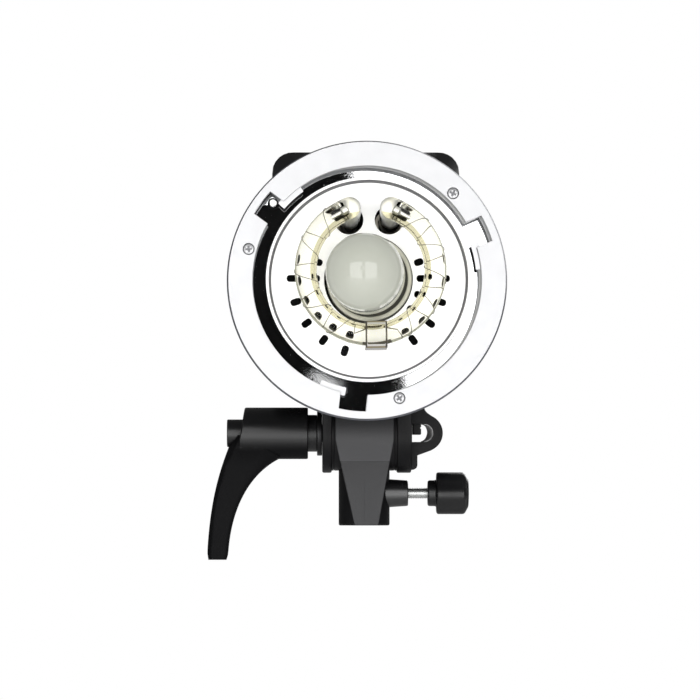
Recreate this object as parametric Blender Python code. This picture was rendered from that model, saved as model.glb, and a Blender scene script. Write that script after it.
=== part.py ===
"""Studio monolight: bayonet front with flash tube and lamp, box housing, tilting stand bracket.

The frame's origin is the centre of the stand socket's mouth. +Z is up and the light faces -Y.
"""
import math

import bmesh
import bpy
from mathutils import Matrix, Vector

MM = 0.001
ROUND = 28
FINE = 2 * ROUND
SMALL = 16

# Clearances
GAP = 0.3 * MM
RUN = 0.4 * MM

# Stand bracket
SPIGOT_RADIUS = 8.0 * MM
SPIGOT_PLAY = 0.2 * MM
STEM_WALL = 3.4 * MM
SOCKET_DEPTH = 29.0 * MM
TILT_HEIGHT = 42.0 * MM
DRUM_RADIUS = 17.0 * MM
DRUM_WIDTH = 27.8 * MM
SHIELD_PROUD = 0.9 * MM
SHIELD_HEAD = 13.7 * MM
SHIELD_FOOT = 5.4 * MM
SHIELD_TOP = 3.5 * MM
SHIELD_WRAP = 60
EDGE = 0.8 * MM

# Stand clamp
CLAMP_HEIGHT = 14.7 * MM
CLAMP_SCREW_RADIUS = 2.5 * MM
BOSS_WALL = 3.7 * MM
BOSS_DRAFT = 0.8 * MM
BOSS_REACH = 8.4 * MM
CLAMP_SHOWN = 8.9 * MM
KNOB_NECK_RADIUS = 5.9 * MM
KNOB_NECK = 4.0 * MM
KNOB_RADIUS = 9.6 * MM
KNOB_LENGTH = 14.9 * MM
KNOB_DOME = 2.6 * MM
KNOB_LOBES = 6
KNOB_FLUTE = 0.7 * MM

# Tilt yoke and umbrella holder
FRICTION_WASHER = 0.3 * MM
CHEEK_RADIUS = 18.0 * MM
LEFT_CHEEK = 4.3 * MM
RIGHT_CHEEK = 6.6 * MM
SADDLE_PLATE = 2.4 * MM
SADDLE_LENGTH = 56.0 * MM
EAR_WALL = 4.3 * MM
EAR_DEPTH = 16.0 * MM
EAR_FRONT = 7.0 * MM
EAR_BASE = 2.75 * MM
UMBRELLA_RADIUS = 4.1 * MM
UMBRELLA_REACH = 5.0 * MM
JAW_WIDTH = 2.9 * MM
JAW_DEPTH = 9.7 * MM
JAW_LENGTH = 11.6 * MM
JAW_DIP = 0.6 * MM
JAW_TRAVEL = 4.5 * MM

# Tilt stud and clamping lever
STUD_RADIUS = 4.0 * MM
NUT_RADIUS = 7.4 * MM
NUT_HEIGHT = 4.0 * MM
LEVER_WASHER = 1.8 * MM
LEVER_WASHER_RADIUS = 9.4 * MM
NECK_RADIUS = 8.0 * MM
NECK_SHOWN = 4.1 * MM
NECK_SEAT = 12.0 * MM
HUB_RADIUS = 12.0 * MM
HUB_LENGTH = 28.8 * MM
HUB_SLANT = 0.4
HUB_WEB = 2.5 * MM
ARM_WIDTH = 18.0 * MM
ARM_DROP = 57.6 * MM
ARM_TIP = 8.8 * MM
ARM_OFFSET = 7.8 * MM
ARM_TAPER = 0.5
ARM_EDGE = 1.2 * MM
ARM_SWEEP = 5.0 * MM
ARM_ROOT_SWEEP = 14.0 * MM
ARM_TIP_SWEEP = 1.5 * MM
BUTTON_RADIUS = 6.3 * MM
BUTTON_SHOWN = 6.7 * MM
BUTTON_SHANK = 3.0 * MM
SHANK_SEAT = 6.5 * MM
LEVER_SPRING_LENGTH = 9.6 * MM
LEVER_SPRING_RADIUS = 4.6 * MM
LEVER_SPRING_WIRE = 0.5 * MM

# Bayonet front
BEZEL_AHEAD = 100.0 * MM
THROAT_RADIUS = 49.2 * MM
NOTCH_DEPTH = 7.6 * MM
NOTCH_WIDTH = 11.7 * MM
NOTCH_ANGLE = math.radians(23.5)
BEZEL_RIM = 4.0 * MM
BEZEL_THICKNESS = 3.5 * MM
LIP_DEPTH = 1.9 * MM
LIP_ARC = math.radians(14)
LIP_THICKNESS = 2.0 * MM
LUG_SPACE = 8.3 * MM
SHEET = 1.2 * MM
SCREW_ANGLE = math.radians(45.3)
SCREW_RADIUS = 1.4 * MM
SCREW_HEAD_RADIUS = 2.3 * MM
SCREW_HEAD = 1.6 * MM
SCREW_LENGTH = 9.0 * MM
POST_RADIUS = 3.2 * MM
COLLAR_WALL = 2.3 * MM
COLLAR_STRAIGHT = 30.0 * MM
COLLAR_DEPTH = 44.0 * MM
DECK = 2.5 * MM
DECK_WIDTH = 5.0 * MM

# Bayonet lock
LOCK_ANGLE = math.radians(140.2)
LOCK_PIN_RADIUS = 1.6 * MM
LOCK_PIN_TAIL = 1.1 * MM
LOCK_PIN_SET_BACK = 4.5 * MM
LOCK_PIN_LENGTH = 14.0 * MM
LOCK_TRAVEL = 4.0 * MM
SLIDER_WIDTH = 5.0 * MM
SLIDER_THICKNESS = 4.0 * MM
SLIDER_TAB = 9.0 * MM
SLIDER_TAB_PROUD = 0.8 * MM
SLIDER_INNER = 9.9 * MM
LOCK_SPRING_INSET = 7.0 * MM
LOCK_SPRING_RADIUS = 2.2 * MM
LOCK_SPRING_WIRE = 0.4 * MM
LOCK_SPRING_LENGTH = 12.4 * MM

# Lamp plate, flash tube and modelling lamp
ACCESSORY_GROOVE = 6.2 * MM
PAN_RIM = 4.0 * MM
WELL_RADIUS = 18.9 * MM
SLOT_PITCH = math.radians(18)
SLOT_INNER = 20.8 * MM
SLOT_OUTER = 34.8 * MM
SLOT_WIDTH = 2.6 * MM
SLOT_STEPS = (9, 10, 11, 12, 13, 14, 17, 18, 19, 20, 21)
TUBE_RADIUS = 4.75 * MM
TUBE_WALL = 1.3 * MM
TUBE_RING = 27.5 * MM
TUBE_RISE = 3.5 * MM
TUBE_AHEAD = 8.0 * MM
TUBE_OPENING = math.radians(33)
TUBE_BEND = 6.0 * MM
LEG_DROP = 5.0 * MM
LEG_SET_BACK = 22.0 * MM
LEG_HOLE = 1.0 * MM
SEAL_THICKNESS = 2.0 * MM
ELECTRODE_RADIUS = 1.6 * MM
SOCKET_RADIUS = 6.6 * MM
SOCKET_RISE = 3.0 * MM
CLIP_ANGLE = math.radians(279)
CLIP_WIDTH = 9.4 * MM
CLIP_THICKNESS = 0.8 * MM
WIRE_RADIUS = 0.25 * MM
WIRE_LIFT = 0.9 * MM
WIRE_TURNS = 5
LAMP_RADIUS = 16.7 * MM
LAMP_AHEAD = 35.0 * MM
LAMP_STRAIGHT = 20.0 * MM
LAMP_SHOULDER = 16.0 * MM
LAMP_LEAN_ACROSS = -0.07
LAMP_LEAN_UP = 0.075
CAP_RADIUS = 13.2 * MM
CAP_THREAD = 1.0 * MM
CAP_LENGTH = 26.0 * MM
CAP_SET_BACK = 24.0 * MM
HOLDER_WALL = 3.6 * MM

# Housing
BODY_HALF = 41.5 * MM
BODY_TOP = 59.4 * MM
BODY_DROP = 43.0 * MM
BODY_CORNER = 9.0 * MM
BODY_LENGTH = 180.0 * MM
SHELL = 2.5 * MM
SEAM = 10.0 * MM
VENT_COUNT = 9
VENT_PITCH = 7.0 * MM
VENT_WIDTH = 3.0 * MM
VENT_HEIGHT = 24.0 * MM
VENT_SET_BACK = 40.0 * MM
RAIL = 3.0 * MM
PANEL = 3.0 * MM
PANEL_BOSS = 3.6 * MM
PANEL_BOSS_LENGTH = 12.0 * MM

# Inside
BULKHEAD_SET_BACK = 60.0 * MM
BULKHEAD = 3.0 * MM
FAN_SIZE = 60.0 * MM
FAN_DEPTH = 15.0 * MM
FAN_RADIUS = 27.0 * MM
FAN_HUB = 11.0 * MM
FAN_PIN = 1.6 * MM
FAN_BLADES = 7
FAN_TWIST = math.radians(30)
FAN_SPIDER = 2.4 * MM
CAPACITOR_RADIUS = 17.0 * MM
CAPACITOR_LENGTH = 80.0 * MM
CAPACITOR_SET_BACK = 96.0 * MM
CAN_NECK = 5.0 * MM
CAN_BEAD = 1.0 * MM
BOARD = 1.6 * MM
POWER_BOARD_LENGTH = 108.0 * MM
POWER_BOARD_SET_BACK = 90.0 * MM
COIL_SIZE = 28.0 * MM
COIL_HEIGHT = 22.0 * MM
COIL_FLANGE = 3.0 * MM

# Rear controls, placed from the light's axis as seen from behind
CONTROL_BOARD_SET_BACK = 10.0 * MM
CONTROL_BOARD_CLEAR = 1.0 * MM
DISPLAY_INSET = 17.0 * MM
DISPLAY_HEIGHT = 20.0 * MM
DISPLAY_RISE = 35.0 * MM
KEY_HALF = 4.6 * MM
KEY_HEIGHT = 5.6 * MM
KEY_RISE = 17.5 * MM
KEY_INSET = 12.0 * MM
KEY_PROUD = 1.6 * MM
KEY_FLANGE = 1.0 * MM
KEY_TRAVEL = 1.0 * MM
DIAL_RADIUS = 12.0 * MM
DIAL_LENGTH = 12.0 * MM
DIAL_DROP = 1.0 * MM
DIAL_SHAFT = 3.0 * MM
DIAL_FLUTES = 24
SENSOR_RADIUS = 6.0 * MM
SENSOR_RISE = 52.5 * MM
SIDE_JACK_INSET = 10.0 * MM
SIDE_JACKS_DROP = 3.0 * MM
JACK_RADIUS = 3.7 * MM
JACK_BORE = 1.75 * MM
FUSE_RADIUS = 6.2 * MM
FUSE_PLUG = 4.6 * MM
POWER_ROW_DROP = 28.0 * MM
SWITCH_INSET = 17.0 * MM
SWITCH_HALF = 9.0 * MM
SWITCH_HEIGHT = 12.6 * MM
SWITCH_WALL = 1.4 * MM
ROCKER_TURN = math.radians(8)
INLET_INSET = 26.0 * MM
INLET_HALF = 13.2 * MM
INLET_HEIGHT = 19.4 * MM
INLET_WALL = 1.3 * MM
PIN_PITCH = 14.0 * MM
PIN_STAGGER = 2.0 * MM
PIN_WIDTH = 2.0 * MM
INLET_DEPTH = 17.0 * MM
FLANGE = 2.0 * MM
FLANGE_THICKNESS = 1.7 * MM

# Places that follow from the sizes above
SOCKET_BORE = SPIGOT_RADIUS + SPIGOT_PLAY
STEM_RADIUS = SOCKET_BORE + STEM_WALL
BOSS_TIP = STEM_RADIUS + BOSS_REACH
CHEEK_INNER = DRUM_WIDTH / 2 + 2 * GAP + FRICTION_WASHER
LEFT_FACE = CHEEK_INNER + LEFT_CHEEK
RIGHT_FACE = CHEEK_INNER + RIGHT_CHEEK
SADDLE_UNDER = DRUM_RADIUS + SHIELD_PROUD + RUN
SADDLE_OVER = SADDLE_UNDER + SADDLE_PLATE
AXIS_RISE = SADDLE_OVER + GAP + BODY_DROP
NOTCH_RADIUS = THROAT_RADIUS + NOTCH_DEPTH
BEZEL_RADIUS = NOTCH_RADIUS + BEZEL_RIM
SCREW_CIRCLE = THROAT_RADIUS + NOTCH_DEPTH / 2
PLATE_FACE = -(BEZEL_THICKNESS + LUG_SPACE)
PLATE_BACK = PLATE_FACE - SHEET
DECK_FACE = PLATE_BACK - GAP
DECK_BACK = DECK_FACE - DECK
COLLAR_INNER = NOTCH_RADIUS + RUN
COLLAR_RADIUS = COLLAR_INNER + COLLAR_WALL
PAN_RADIUS = THROAT_RADIUS - ACCESSORY_GROOVE
COVER_FRONT = -(COLLAR_DEPTH + GAP)
COVER_REAR = COVER_FRONT - BODY_LENGTH
PANEL_FACE = COVER_REAR - GAP - PANEL
BULKHEAD_FACE = -BULKHEAD_SET_BACK
BULKHEAD_BACK = BULKHEAD_FACE - BULKHEAD
INNER_HALF = BODY_HALF - SHELL
CONTROL_BOARD_HALF = INNER_HALF - CONTROL_BOARD_CLEAR
DISPLAY_HALF = INNER_HALF - DISPLAY_INSET
KEY_PITCH = (INNER_HALF - KEY_INSET) / 1.5
SIDE_JACKS = INNER_HALF - SIDE_JACK_INSET
SWITCH_ACROSS = SWITCH_INSET - INNER_HALF
INLET_ACROSS = INNER_HALF - INLET_INSET
SLIDER_FACE = -(LOCK_PIN_SET_BACK + LOCK_PIN_LENGTH + GAP)

FINISHES = {
    "black_plastic": ((0.012, 0.012, 0.013), 0.42, 0.0),
    "charcoal_plastic": ((0.045, 0.047, 0.052), 0.5, 0.0),
    "silver_metal": ((0.62, 0.63, 0.64), 0.3, 1.0),
    "mirror_metal": ((0.85, 0.85, 0.85), 0.06, 1.0),
    "white_enamel": ((0.82, 0.82, 0.8), 0.45, 0.0),
    "clear_glass": ((0.93, 0.95, 0.9), 0.03, 0.0),
    "frosted_glass": ((0.62, 0.63, 0.56), 0.5, 0.0),
    "ceramic": ((0.72, 0.66, 0.54), 0.6, 0.0),
    "steel": ((0.5, 0.5, 0.5), 0.35, 1.0),
    "brass": ((0.6, 0.45, 0.2), 0.35, 1.0),
    "circuit_board": ((0.02, 0.13, 0.05), 0.5, 0.0),
    "smoked_lens": ((0.03, 0.035, 0.04), 0.1, 0.0),
    "red_lens": ((0.35, 0.02, 0.02), 0.15, 0.0),
    "grey_key": ((0.35, 0.36, 0.37), 0.5, 0.0),
}

ALONG_X = Matrix.Rotation(math.radians(90), 4, "Y")
SECTION_TO_X = Matrix(((0, 0, 1, 0), (1, 0, 0, 0), (0, 1, 0, 0), (0, 0, 0, 1)))
FRONT_TO_Y = Matrix.Rotation(math.radians(90), 4, "X")


def arc(across, up, radius, start, end, steps):
    """Points on an arc, angles in degrees."""
    angles = [math.radians(start + (end - start) * i / steps) for i in range(steps + 1)]
    return [(across + radius * math.cos(a), up + radius * math.sin(a)) for a in angles]


def circle(across, up, radius, steps):
    return arc(across, up, radius, 0, 360 - 360 / steps, steps - 1)


def rectangle(left, right, low, high):
    return [(left, low), (right, low), (right, high), (left, high)]


def rounded(left, right, low, high, radius, steps=3):
    corners = ((right, high, 0), (left, high, 90), (left, low, 180), (right, low, 270))
    points = []
    for x, y, start in corners:
        x += -radius if x == right else radius
        y += -radius if y == high else radius
        points += arc(x, y, radius, start, start + 90, steps)
    return points


def bezier(controls, steps):
    """Points on a cubic Bezier curve."""
    points = []
    for i in range(steps + 1):
        t = i / steps
        weights = ((1 - t) ** 3, 3 * t * (1 - t) ** 2, 3 * t * t * (1 - t), t ** 3)
        points.append(tuple(sum(w * c[k] for w, c in zip(weights, controls)) for k in (0, 1)))
    return points


def body_section(inset):
    """The housing's rounded section, inset by a wall."""
    half, top, low = BODY_HALF - inset, BODY_TOP - inset, -BODY_DROP + inset
    return rounded(-half, half, low, top, BODY_CORNER - inset, 4)


def body_outline(inset):
    """The same section with points along its sides."""
    corners = body_section(inset)
    points = []
    for i, corner in enumerate(corners):
        points.append(corner)
        following = corners[(i + 1) % len(corners)]
        if (i + 1) % 5 == 0:
            parts = 13 if abs(corner[0] - following[0]) < MM else 10
            for k in range(1, parts):
                points.append(tuple(a + (b - a) * k / parts for a, b in zip(corner, following)))
    return points


def tidy(bm):
    bmesh.ops.remove_doubles(bm, verts=bm.verts, dist=1e-7)
    bmesh.ops.recalc_face_normals(bm, faces=bm.faces)
    return bm


def turned(profile, steps=ROUND):
    """Revolve a closed (radius, height) outline about Z."""
    bm = bmesh.new()
    verts = [bm.verts.new((radius, 0, height)) for radius, height in profile]
    edges = []
    for i, vert in enumerate(verts):
        if vert.co.x > 0 or verts[i - 1].co.x > 0:
            edges.append(bm.edges.new((verts[i - 1], vert)))
    bmesh.ops.spin(bm, geom=verts + edges, axis=(0, 0, 1), angle=math.tau, steps=steps, use_merge=True)
    return tidy(bm)


def cylinder(radius, low, high, steps=SMALL):
    return turned([(0, low), (radius, low), (radius, high), (0, high)], steps)


def extruded(outlines, low, high):
    """Extrude an outline, with any further outlines as holes, along Z."""
    bm = bmesh.new()
    edges = []
    for outline in outlines:
        verts = [bm.verts.new((x, y, low)) for x, y in outline]
        edges += [bm.edges.new((verts[i - 1], verts[i])) for i in range(len(verts))]
    if len(outlines) == 1:
        faces = [bm.faces.new(verts)]
    else:
        filled = bmesh.ops.triangle_fill(bm, edges=edges, use_beauty=True)
        faces = [item for item in filled["geom"] if isinstance(item, bmesh.types.BMFace)]
    grown = bmesh.ops.extrude_face_region(bm, geom=faces)["geom"]
    verts = [item for item in grown if isinstance(item, bmesh.types.BMVert)]
    bmesh.ops.translate(bm, verts=verts, vec=(0, 0, high - low))
    return tidy(bm)


def block(left, right, low, high, back, front):
    return extruded([rectangle(left, right, low, high)], back, front)


def skinned(loops, closed=False):
    """Join loops of equal count into one skin, capped at its ends or closed into a ring."""
    bm = bmesh.new()
    rows = [[bm.verts.new(point) for point in loop] for loop in loops]
    for i in range(0 if closed else 1, len(rows)):
        lower, upper = rows[i - 1], rows[i]
        for k in range(len(lower)):
            bm.faces.new((lower[k - 1], lower[k], upper[k], upper[k - 1]))
    if not closed:
        bm.faces.new(rows[0])
        bm.faces.new(rows[-1])
    return tidy(bm)


def sleeve(path, radius, sides):
    """Rings of points round a path, carried along it without twist."""
    rings = []
    normal = (path[1] - path[0]).orthogonal().normalized()
    for i, point in enumerate(path):
        tangent = (path[min(i + 1, len(path) - 1)] - path[max(i - 1, 0)]).normalized()
        normal = (normal - tangent * normal.dot(tangent)).normalized()
        side = tangent.cross(normal)
        turns = [math.tau * k / sides for k in range(sides)]
        rings.append([point + radius * (math.cos(a) * normal + math.sin(a) * side) for a in turns])
    return rings


def coil(radius, low, high, wire, turns, steps=8, sides=4):
    """A compression spring about Z between two seats."""
    low += wire
    high -= wire
    path = []
    for i in range(turns * steps + 1):
        angle = math.tau * i / steps
        height = low + (high - low) * i / (turns * steps)
        path.append(Vector((radius * math.cos(angle), radius * math.sin(angle), height)))
    return skinned(sleeve(path, wire, sides))


def moved(bm, matrix):
    bmesh.ops.transform(bm, matrix=matrix, verts=bm.verts)
    return tidy(bm)


def together(*parts):
    """Several separate helper solids in one mesh."""
    whole = bmesh.new()
    for bm in parts:
        mesh = bpy.data.meshes.new("helper")
        bm.to_mesh(mesh)
        whole.from_mesh(mesh)
        bpy.data.meshes.remove(mesh)
    return whole


def link(name, data, parent, location, rotation):
    item = bpy.data.objects.new(name, data)
    bpy.context.scene.collection.objects.link(item)
    item.parent = parent
    item.location = location
    item.rotation_euler = rotation
    return item


def empty(name, parent=None, location=(0, 0, 0), rotation=(0, 0, 0)):
    return link(name, None, parent, location, rotation)


def finish(name):
    material = bpy.data.materials.get(name)
    if material is None:
        colour, roughness, metallic = FINISHES[name]
        material = bpy.data.materials.new(name)
        material.use_nodes = True
        shader = material.node_tree.nodes["Principled BSDF"]
        shader.inputs["Base Color"].default_value = (*colour, 1)
        shader.inputs["Roughness"].default_value = roughness
        shader.inputs["Metallic"].default_value = metallic
    return material


def piece(name, bm, look, parent=None, location=(0, 0, 0), rotation=(0, 0, 0)):
    """One sub-part of the light as its own object."""
    mesh = bpy.data.meshes.new(name)
    bm.to_mesh(mesh)
    mesh.shade_smooth()
    mesh.set_sharp_from_angle(angle=math.radians(35))
    mesh.materials.append(finish(look))
    return link(name, mesh, parent, location, rotation)


def shape(target, tool, operation="DIFFERENCE"):
    """Cut or join a helper solid given in the target's own coordinates."""
    mesh = bpy.data.meshes.new("helper")
    tool.to_mesh(mesh)
    helper = link("helper", mesh, target.parent, target.location, target.rotation_euler)
    helper.hide_render = True
    helper.display_type = "WIRE"
    modifier = target.modifiers.new("shape", "BOOLEAN")
    modifier.operation = operation
    modifier.object = helper


def join(target, tool):
    shape(target, tool, "UNION")


def stand_bracket():
    """Drum, stem, front shield and clamp boss, with the socket and the two bores."""
    stem = [(0, 0), (STEM_RADIUS - EDGE, 0), (STEM_RADIUS, EDGE)]
    stem += [(STEM_RADIUS, TILT_HEIGHT), (0, TILT_HEIGHT)]
    bracket = piece("stand_bracket", turned(stem), "charcoal_plastic")
    at_tilt = Matrix.Translation((0, 0, TILT_HEIGHT)) @ ALONG_X
    at_clamp = Matrix.Translation((0, 0, CLAMP_HEIGHT)) @ ALONG_X
    join(bracket, moved(cylinder(DRUM_RADIUS, -DRUM_WIDTH / 2, DRUM_WIDTH / 2, ROUND), at_tilt))
    outer = DRUM_RADIUS + SHIELD_PROUD
    front = STEM_RADIUS + SHIELD_PROUD
    crease = math.degrees(math.asin(math.sqrt(1 - (front / outer) ** 2)))
    head = math.degrees(math.asin(SHIELD_TOP / outer))
    fold = TILT_HEIGHT - SHIELD_TOP
    side = [(0, 0), (-front, 0)] + arc(0, TILT_HEIGHT, outer, 180 + crease, 180 + head, 5)
    side += arc(0, TILT_HEIGHT, outer, 180 + head, 180 - SHIELD_WRAP, 6)[1:]
    side.append((0, fold))
    shield = moved(extruded([side], -1, 1), SECTION_TO_X)
    for end in (-1, 1):
        level = [vert for vert in shield.verts if vert.co.x == end and abs(vert.co.z - fold) < GAP]
        bmesh.ops.connect_verts(shield, verts=level)
    for vert in shield.verts:
        rise = min(1, vert.co.z / fold)
        vert.co.x *= SHIELD_FOOT + (SHIELD_HEAD - SHIELD_FOOT) * rise
    join(bracket, shield)
    root = CLAMP_SCREW_RADIUS + RUN + BOSS_WALL
    boss = [(0, SOCKET_BORE), (root, SOCKET_BORE), (root - BOSS_DRAFT, BOSS_TIP), (0, BOSS_TIP)]
    join(bracket, moved(turned(boss, 20), at_clamp))
    shape(bracket, cylinder(SOCKET_BORE, -SOCKET_DEPTH, SOCKET_DEPTH, ROUND))
    shape(bracket, moved(cylinder(STUD_RADIUS + RUN, -DRUM_WIDTH, DRUM_WIDTH), at_tilt))
    shape(bracket, moved(cylinder(CLAMP_SCREW_RADIUS + RUN, 0, 2 * BOSS_TIP), at_clamp))


def stand_clamp():
    """Screw through the boss and the lobed knob on its end."""
    axis = empty("clamp_axis", None, (0, 0, CLAMP_HEIGHT), ALONG_X.to_euler())
    tip = SOCKET_BORE + GAP
    knob_start = BOSS_TIP + CLAMP_SHOWN
    knob_end = knob_start + KNOB_NECK + KNOB_LENGTH
    seat = knob_start + KNOB_NECK + KNOB_LENGTH / 2
    point = CLAMP_SCREW_RADIUS / 2
    screw = [(0, tip), (point, tip), (CLAMP_SCREW_RADIUS, tip + point), (CLAMP_SCREW_RADIUS, seat), (0, seat)]
    piece("clamp_screw", turned(screw, SMALL), "steel", axis)
    steps = KNOB_LOBES * 6
    profile = [(KNOB_NECK_RADIUS, knob_start), (KNOB_NECK_RADIUS, knob_start + KNOB_NECK)]
    profile += [(KNOB_RADIUS, knob_start + KNOB_NECK), (KNOB_RADIUS, knob_end - KNOB_DOME)]
    profile += [(KNOB_RADIUS * 0.8, knob_end - KNOB_DOME / 4), (KNOB_RADIUS * 0.4, knob_end)]
    loops = []
    for row, (radius, height) in enumerate(profile):
        flute = KNOB_FLUTE if row in (2, 3) else 0
        loop = []
        for k in range(steps):
            angle = math.tau * k / steps
            reach = radius - flute * (1 - math.cos(KNOB_LOBES * angle)) / 2
            loop.append((reach * math.cos(angle), reach * math.sin(angle), height))
        loops.append(loop)
    knob = piece("clamp_knob", skinned(loops), "black_plastic", axis)
    shape(knob, cylinder(CLAMP_SCREW_RADIUS + GAP, 0, seat + GAP))


def tilt_yoke(pivot):
    """Saddle plate with two cheeks, the umbrella ear and the pockets for nut and jaw."""
    half = SADDLE_LENGTH / 2
    left, right = -LEFT_FACE, RIGHT_FACE + EAR_BASE
    saddle = block(left, right, -half, half, SADDLE_UNDER, SADDLE_OVER)
    yoke = piece("tilt_yoke", saddle, "black_plastic", pivot)
    web = SADDLE_UNDER + SADDLE_PLATE / 2
    cheek = arc(0, 0, CHEEK_RADIUS, 180, 360, 14) + [(CHEEK_RADIUS, web), (-CHEEK_RADIUS, web)]
    join(yoke, moved(extruded([cheek], -LEFT_FACE, -CHEEK_INNER), SECTION_TO_X))
    join(yoke, moved(extruded([cheek], CHEEK_INNER, RIGHT_FACE), SECTION_TO_X))
    hole_middle = RIGHT_FACE + GAP + UMBRELLA_REACH
    ear_radius = UMBRELLA_RADIUS + EAR_WALL
    base = RIGHT_FACE + EAR_BASE
    inside = RIGHT_FACE - RIGHT_CHEEK / 4
    low = -math.sqrt(CHEEK_RADIUS ** 2 - EAR_FRONT ** 2)
    outline = [(inside, low), (base, low), (base, -ear_radius * 1.2)]
    outline += arc(hole_middle, 0, ear_radius, -72, 65, 12)
    outline += [(hole_middle + EAR_WALL / 3, ear_radius * 1.08), (hole_middle, ear_radius * 1.35)]
    outline += [(hole_middle, web), (inside, web)]
    slot = [(RIGHT_FACE + GAP, UMBRELLA_RADIUS), (RIGHT_FACE + GAP, -UMBRELLA_RADIUS)]
    slot += arc(hole_middle, 0, UMBRELLA_RADIUS, -90, 90, 10)
    join(yoke, moved(extruded([outline, slot], EAR_FRONT - EAR_DEPTH, EAR_FRONT), FRONT_TO_Y))
    bore = STUD_RADIUS + RUN
    shape(yoke, moved(cylinder(bore, -2 * LEFT_FACE, CHEEK_INNER + NUT_HEIGHT + 2 * GAP), ALONG_X))
    shape(yoke, moved(cylinder(NUT_RADIUS + GAP, 0, CHEEK_INNER + NUT_HEIGHT + 2 * GAP, 6), ALONG_X))
    jaw_left = RIGHT_FACE + 2 * GAP
    jaw_top = JAW_LENGTH - JAW_DIP
    pocket = block(jaw_left - GAP, jaw_left + JAW_WIDTH + GAP, -JAW_DEPTH / 2 - GAP, JAW_DEPTH / 2 + GAP,
                   0, jaw_top + JAW_TRAVEL + 2 * GAP)
    shape(yoke, pocket)
    jaw = rounded(0, JAW_WIDTH, -JAW_DEPTH / 2, JAW_DEPTH / 2, JAW_WIDTH / 4, 2)
    piece("umbrella_jaw", extruded([jaw], -JAW_DIP, jaw_top), "black_plastic", pivot, (jaw_left, 0, 0))


def tilt_clamp(pivot):
    """Nut, washers, stud, clamping lever, its spring and its end button, along the tilt axis."""
    axis = empty("lever_axis", pivot, (0, 0, 0), (0, math.radians(-90), 0))
    hex_nut = [circle(0, 0, NUT_RADIUS, 6), circle(0, 0, STUD_RADIUS + GAP, SMALL)]
    nut_face = CHEEK_INNER + GAP
    piece("tilt_nut", extruded(hex_nut, -nut_face - NUT_HEIGHT, -nut_face), "steel", axis)
    inner = STUD_RADIUS + GAP
    for name, start in (("left", DRUM_WIDTH / 2 + GAP), ("right", -CHEEK_INNER + GAP)):
        ring = [circle(0, 0, CHEEK_RADIUS * 0.75, ROUND), circle(0, 0, inner, SMALL)]
        piece("friction_washer_" + name, extruded(ring, start, start + FRICTION_WASHER), "steel", axis)
    washer = LEFT_FACE + GAP
    ring = [circle(0, 0, LEVER_WASHER_RADIUS, ROUND), circle(0, 0, inner, SMALL)]
    piece("lever_washer", extruded(ring, washer, washer + LEVER_WASHER), "silver_metal", axis)
    neck = washer + LEVER_WASHER + GAP
    hub = neck + NECK_SHOWN
    neck_end = hub + NECK_SEAT
    stud = [(0, -nut_face - NUT_HEIGHT), (STUD_RADIUS, -nut_face - NUT_HEIGHT), (STUD_RADIUS, neck)]
    stud += [(NECK_RADIUS, neck), (NECK_RADIUS, neck_end), (BUTTON_SHANK + GAP, neck_end)]
    stud += [(BUTTON_SHANK + GAP, neck_end - SHANK_SEAT - GAP), (0, neck_end - SHANK_SEAT - GAP)]
    piece("tilt_stud", turned(stud, 24), "black_plastic", axis)
    web = neck_end + GAP
    spring = web + HUB_WEB + GAP
    button = spring + LEVER_SPRING_LENGTH + GAP
    slant_top = hub + HUB_LENGTH
    button_end = slant_top + HUB_SLANT * HUB_RADIUS + BUTTON_SHOWN * 0.5
    lever = tilt_lever(axis, hub, slant_top)
    shape(lever, cylinder(NECK_RADIUS + GAP, 0, web, 24))
    shape(lever, cylinder(BUTTON_SHANK + GAP, 0, spring, SMALL))
    shape(lever, cylinder(BUTTON_RADIUS + GAP, web + HUB_WEB, 2 * button_end, 24))
    crown = BUTTON_RADIUS * 0.2
    end = [(0, neck_end - SHANK_SEAT), (BUTTON_SHANK, neck_end - SHANK_SEAT), (BUTTON_SHANK, button)]
    end += [(BUTTON_RADIUS, button), (BUTTON_RADIUS, button_end - crown)]
    end += [(BUTTON_RADIUS - crown, button_end), (0, button_end)]
    piece("lever_button", turned(end, 24), "black_plastic", axis)
    wound = coil(LEVER_SPRING_RADIUS, spring, spring + LEVER_SPRING_LENGTH, LEVER_SPRING_WIRE, 5)
    piece("lever_spring", wound, "steel", axis)


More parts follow.
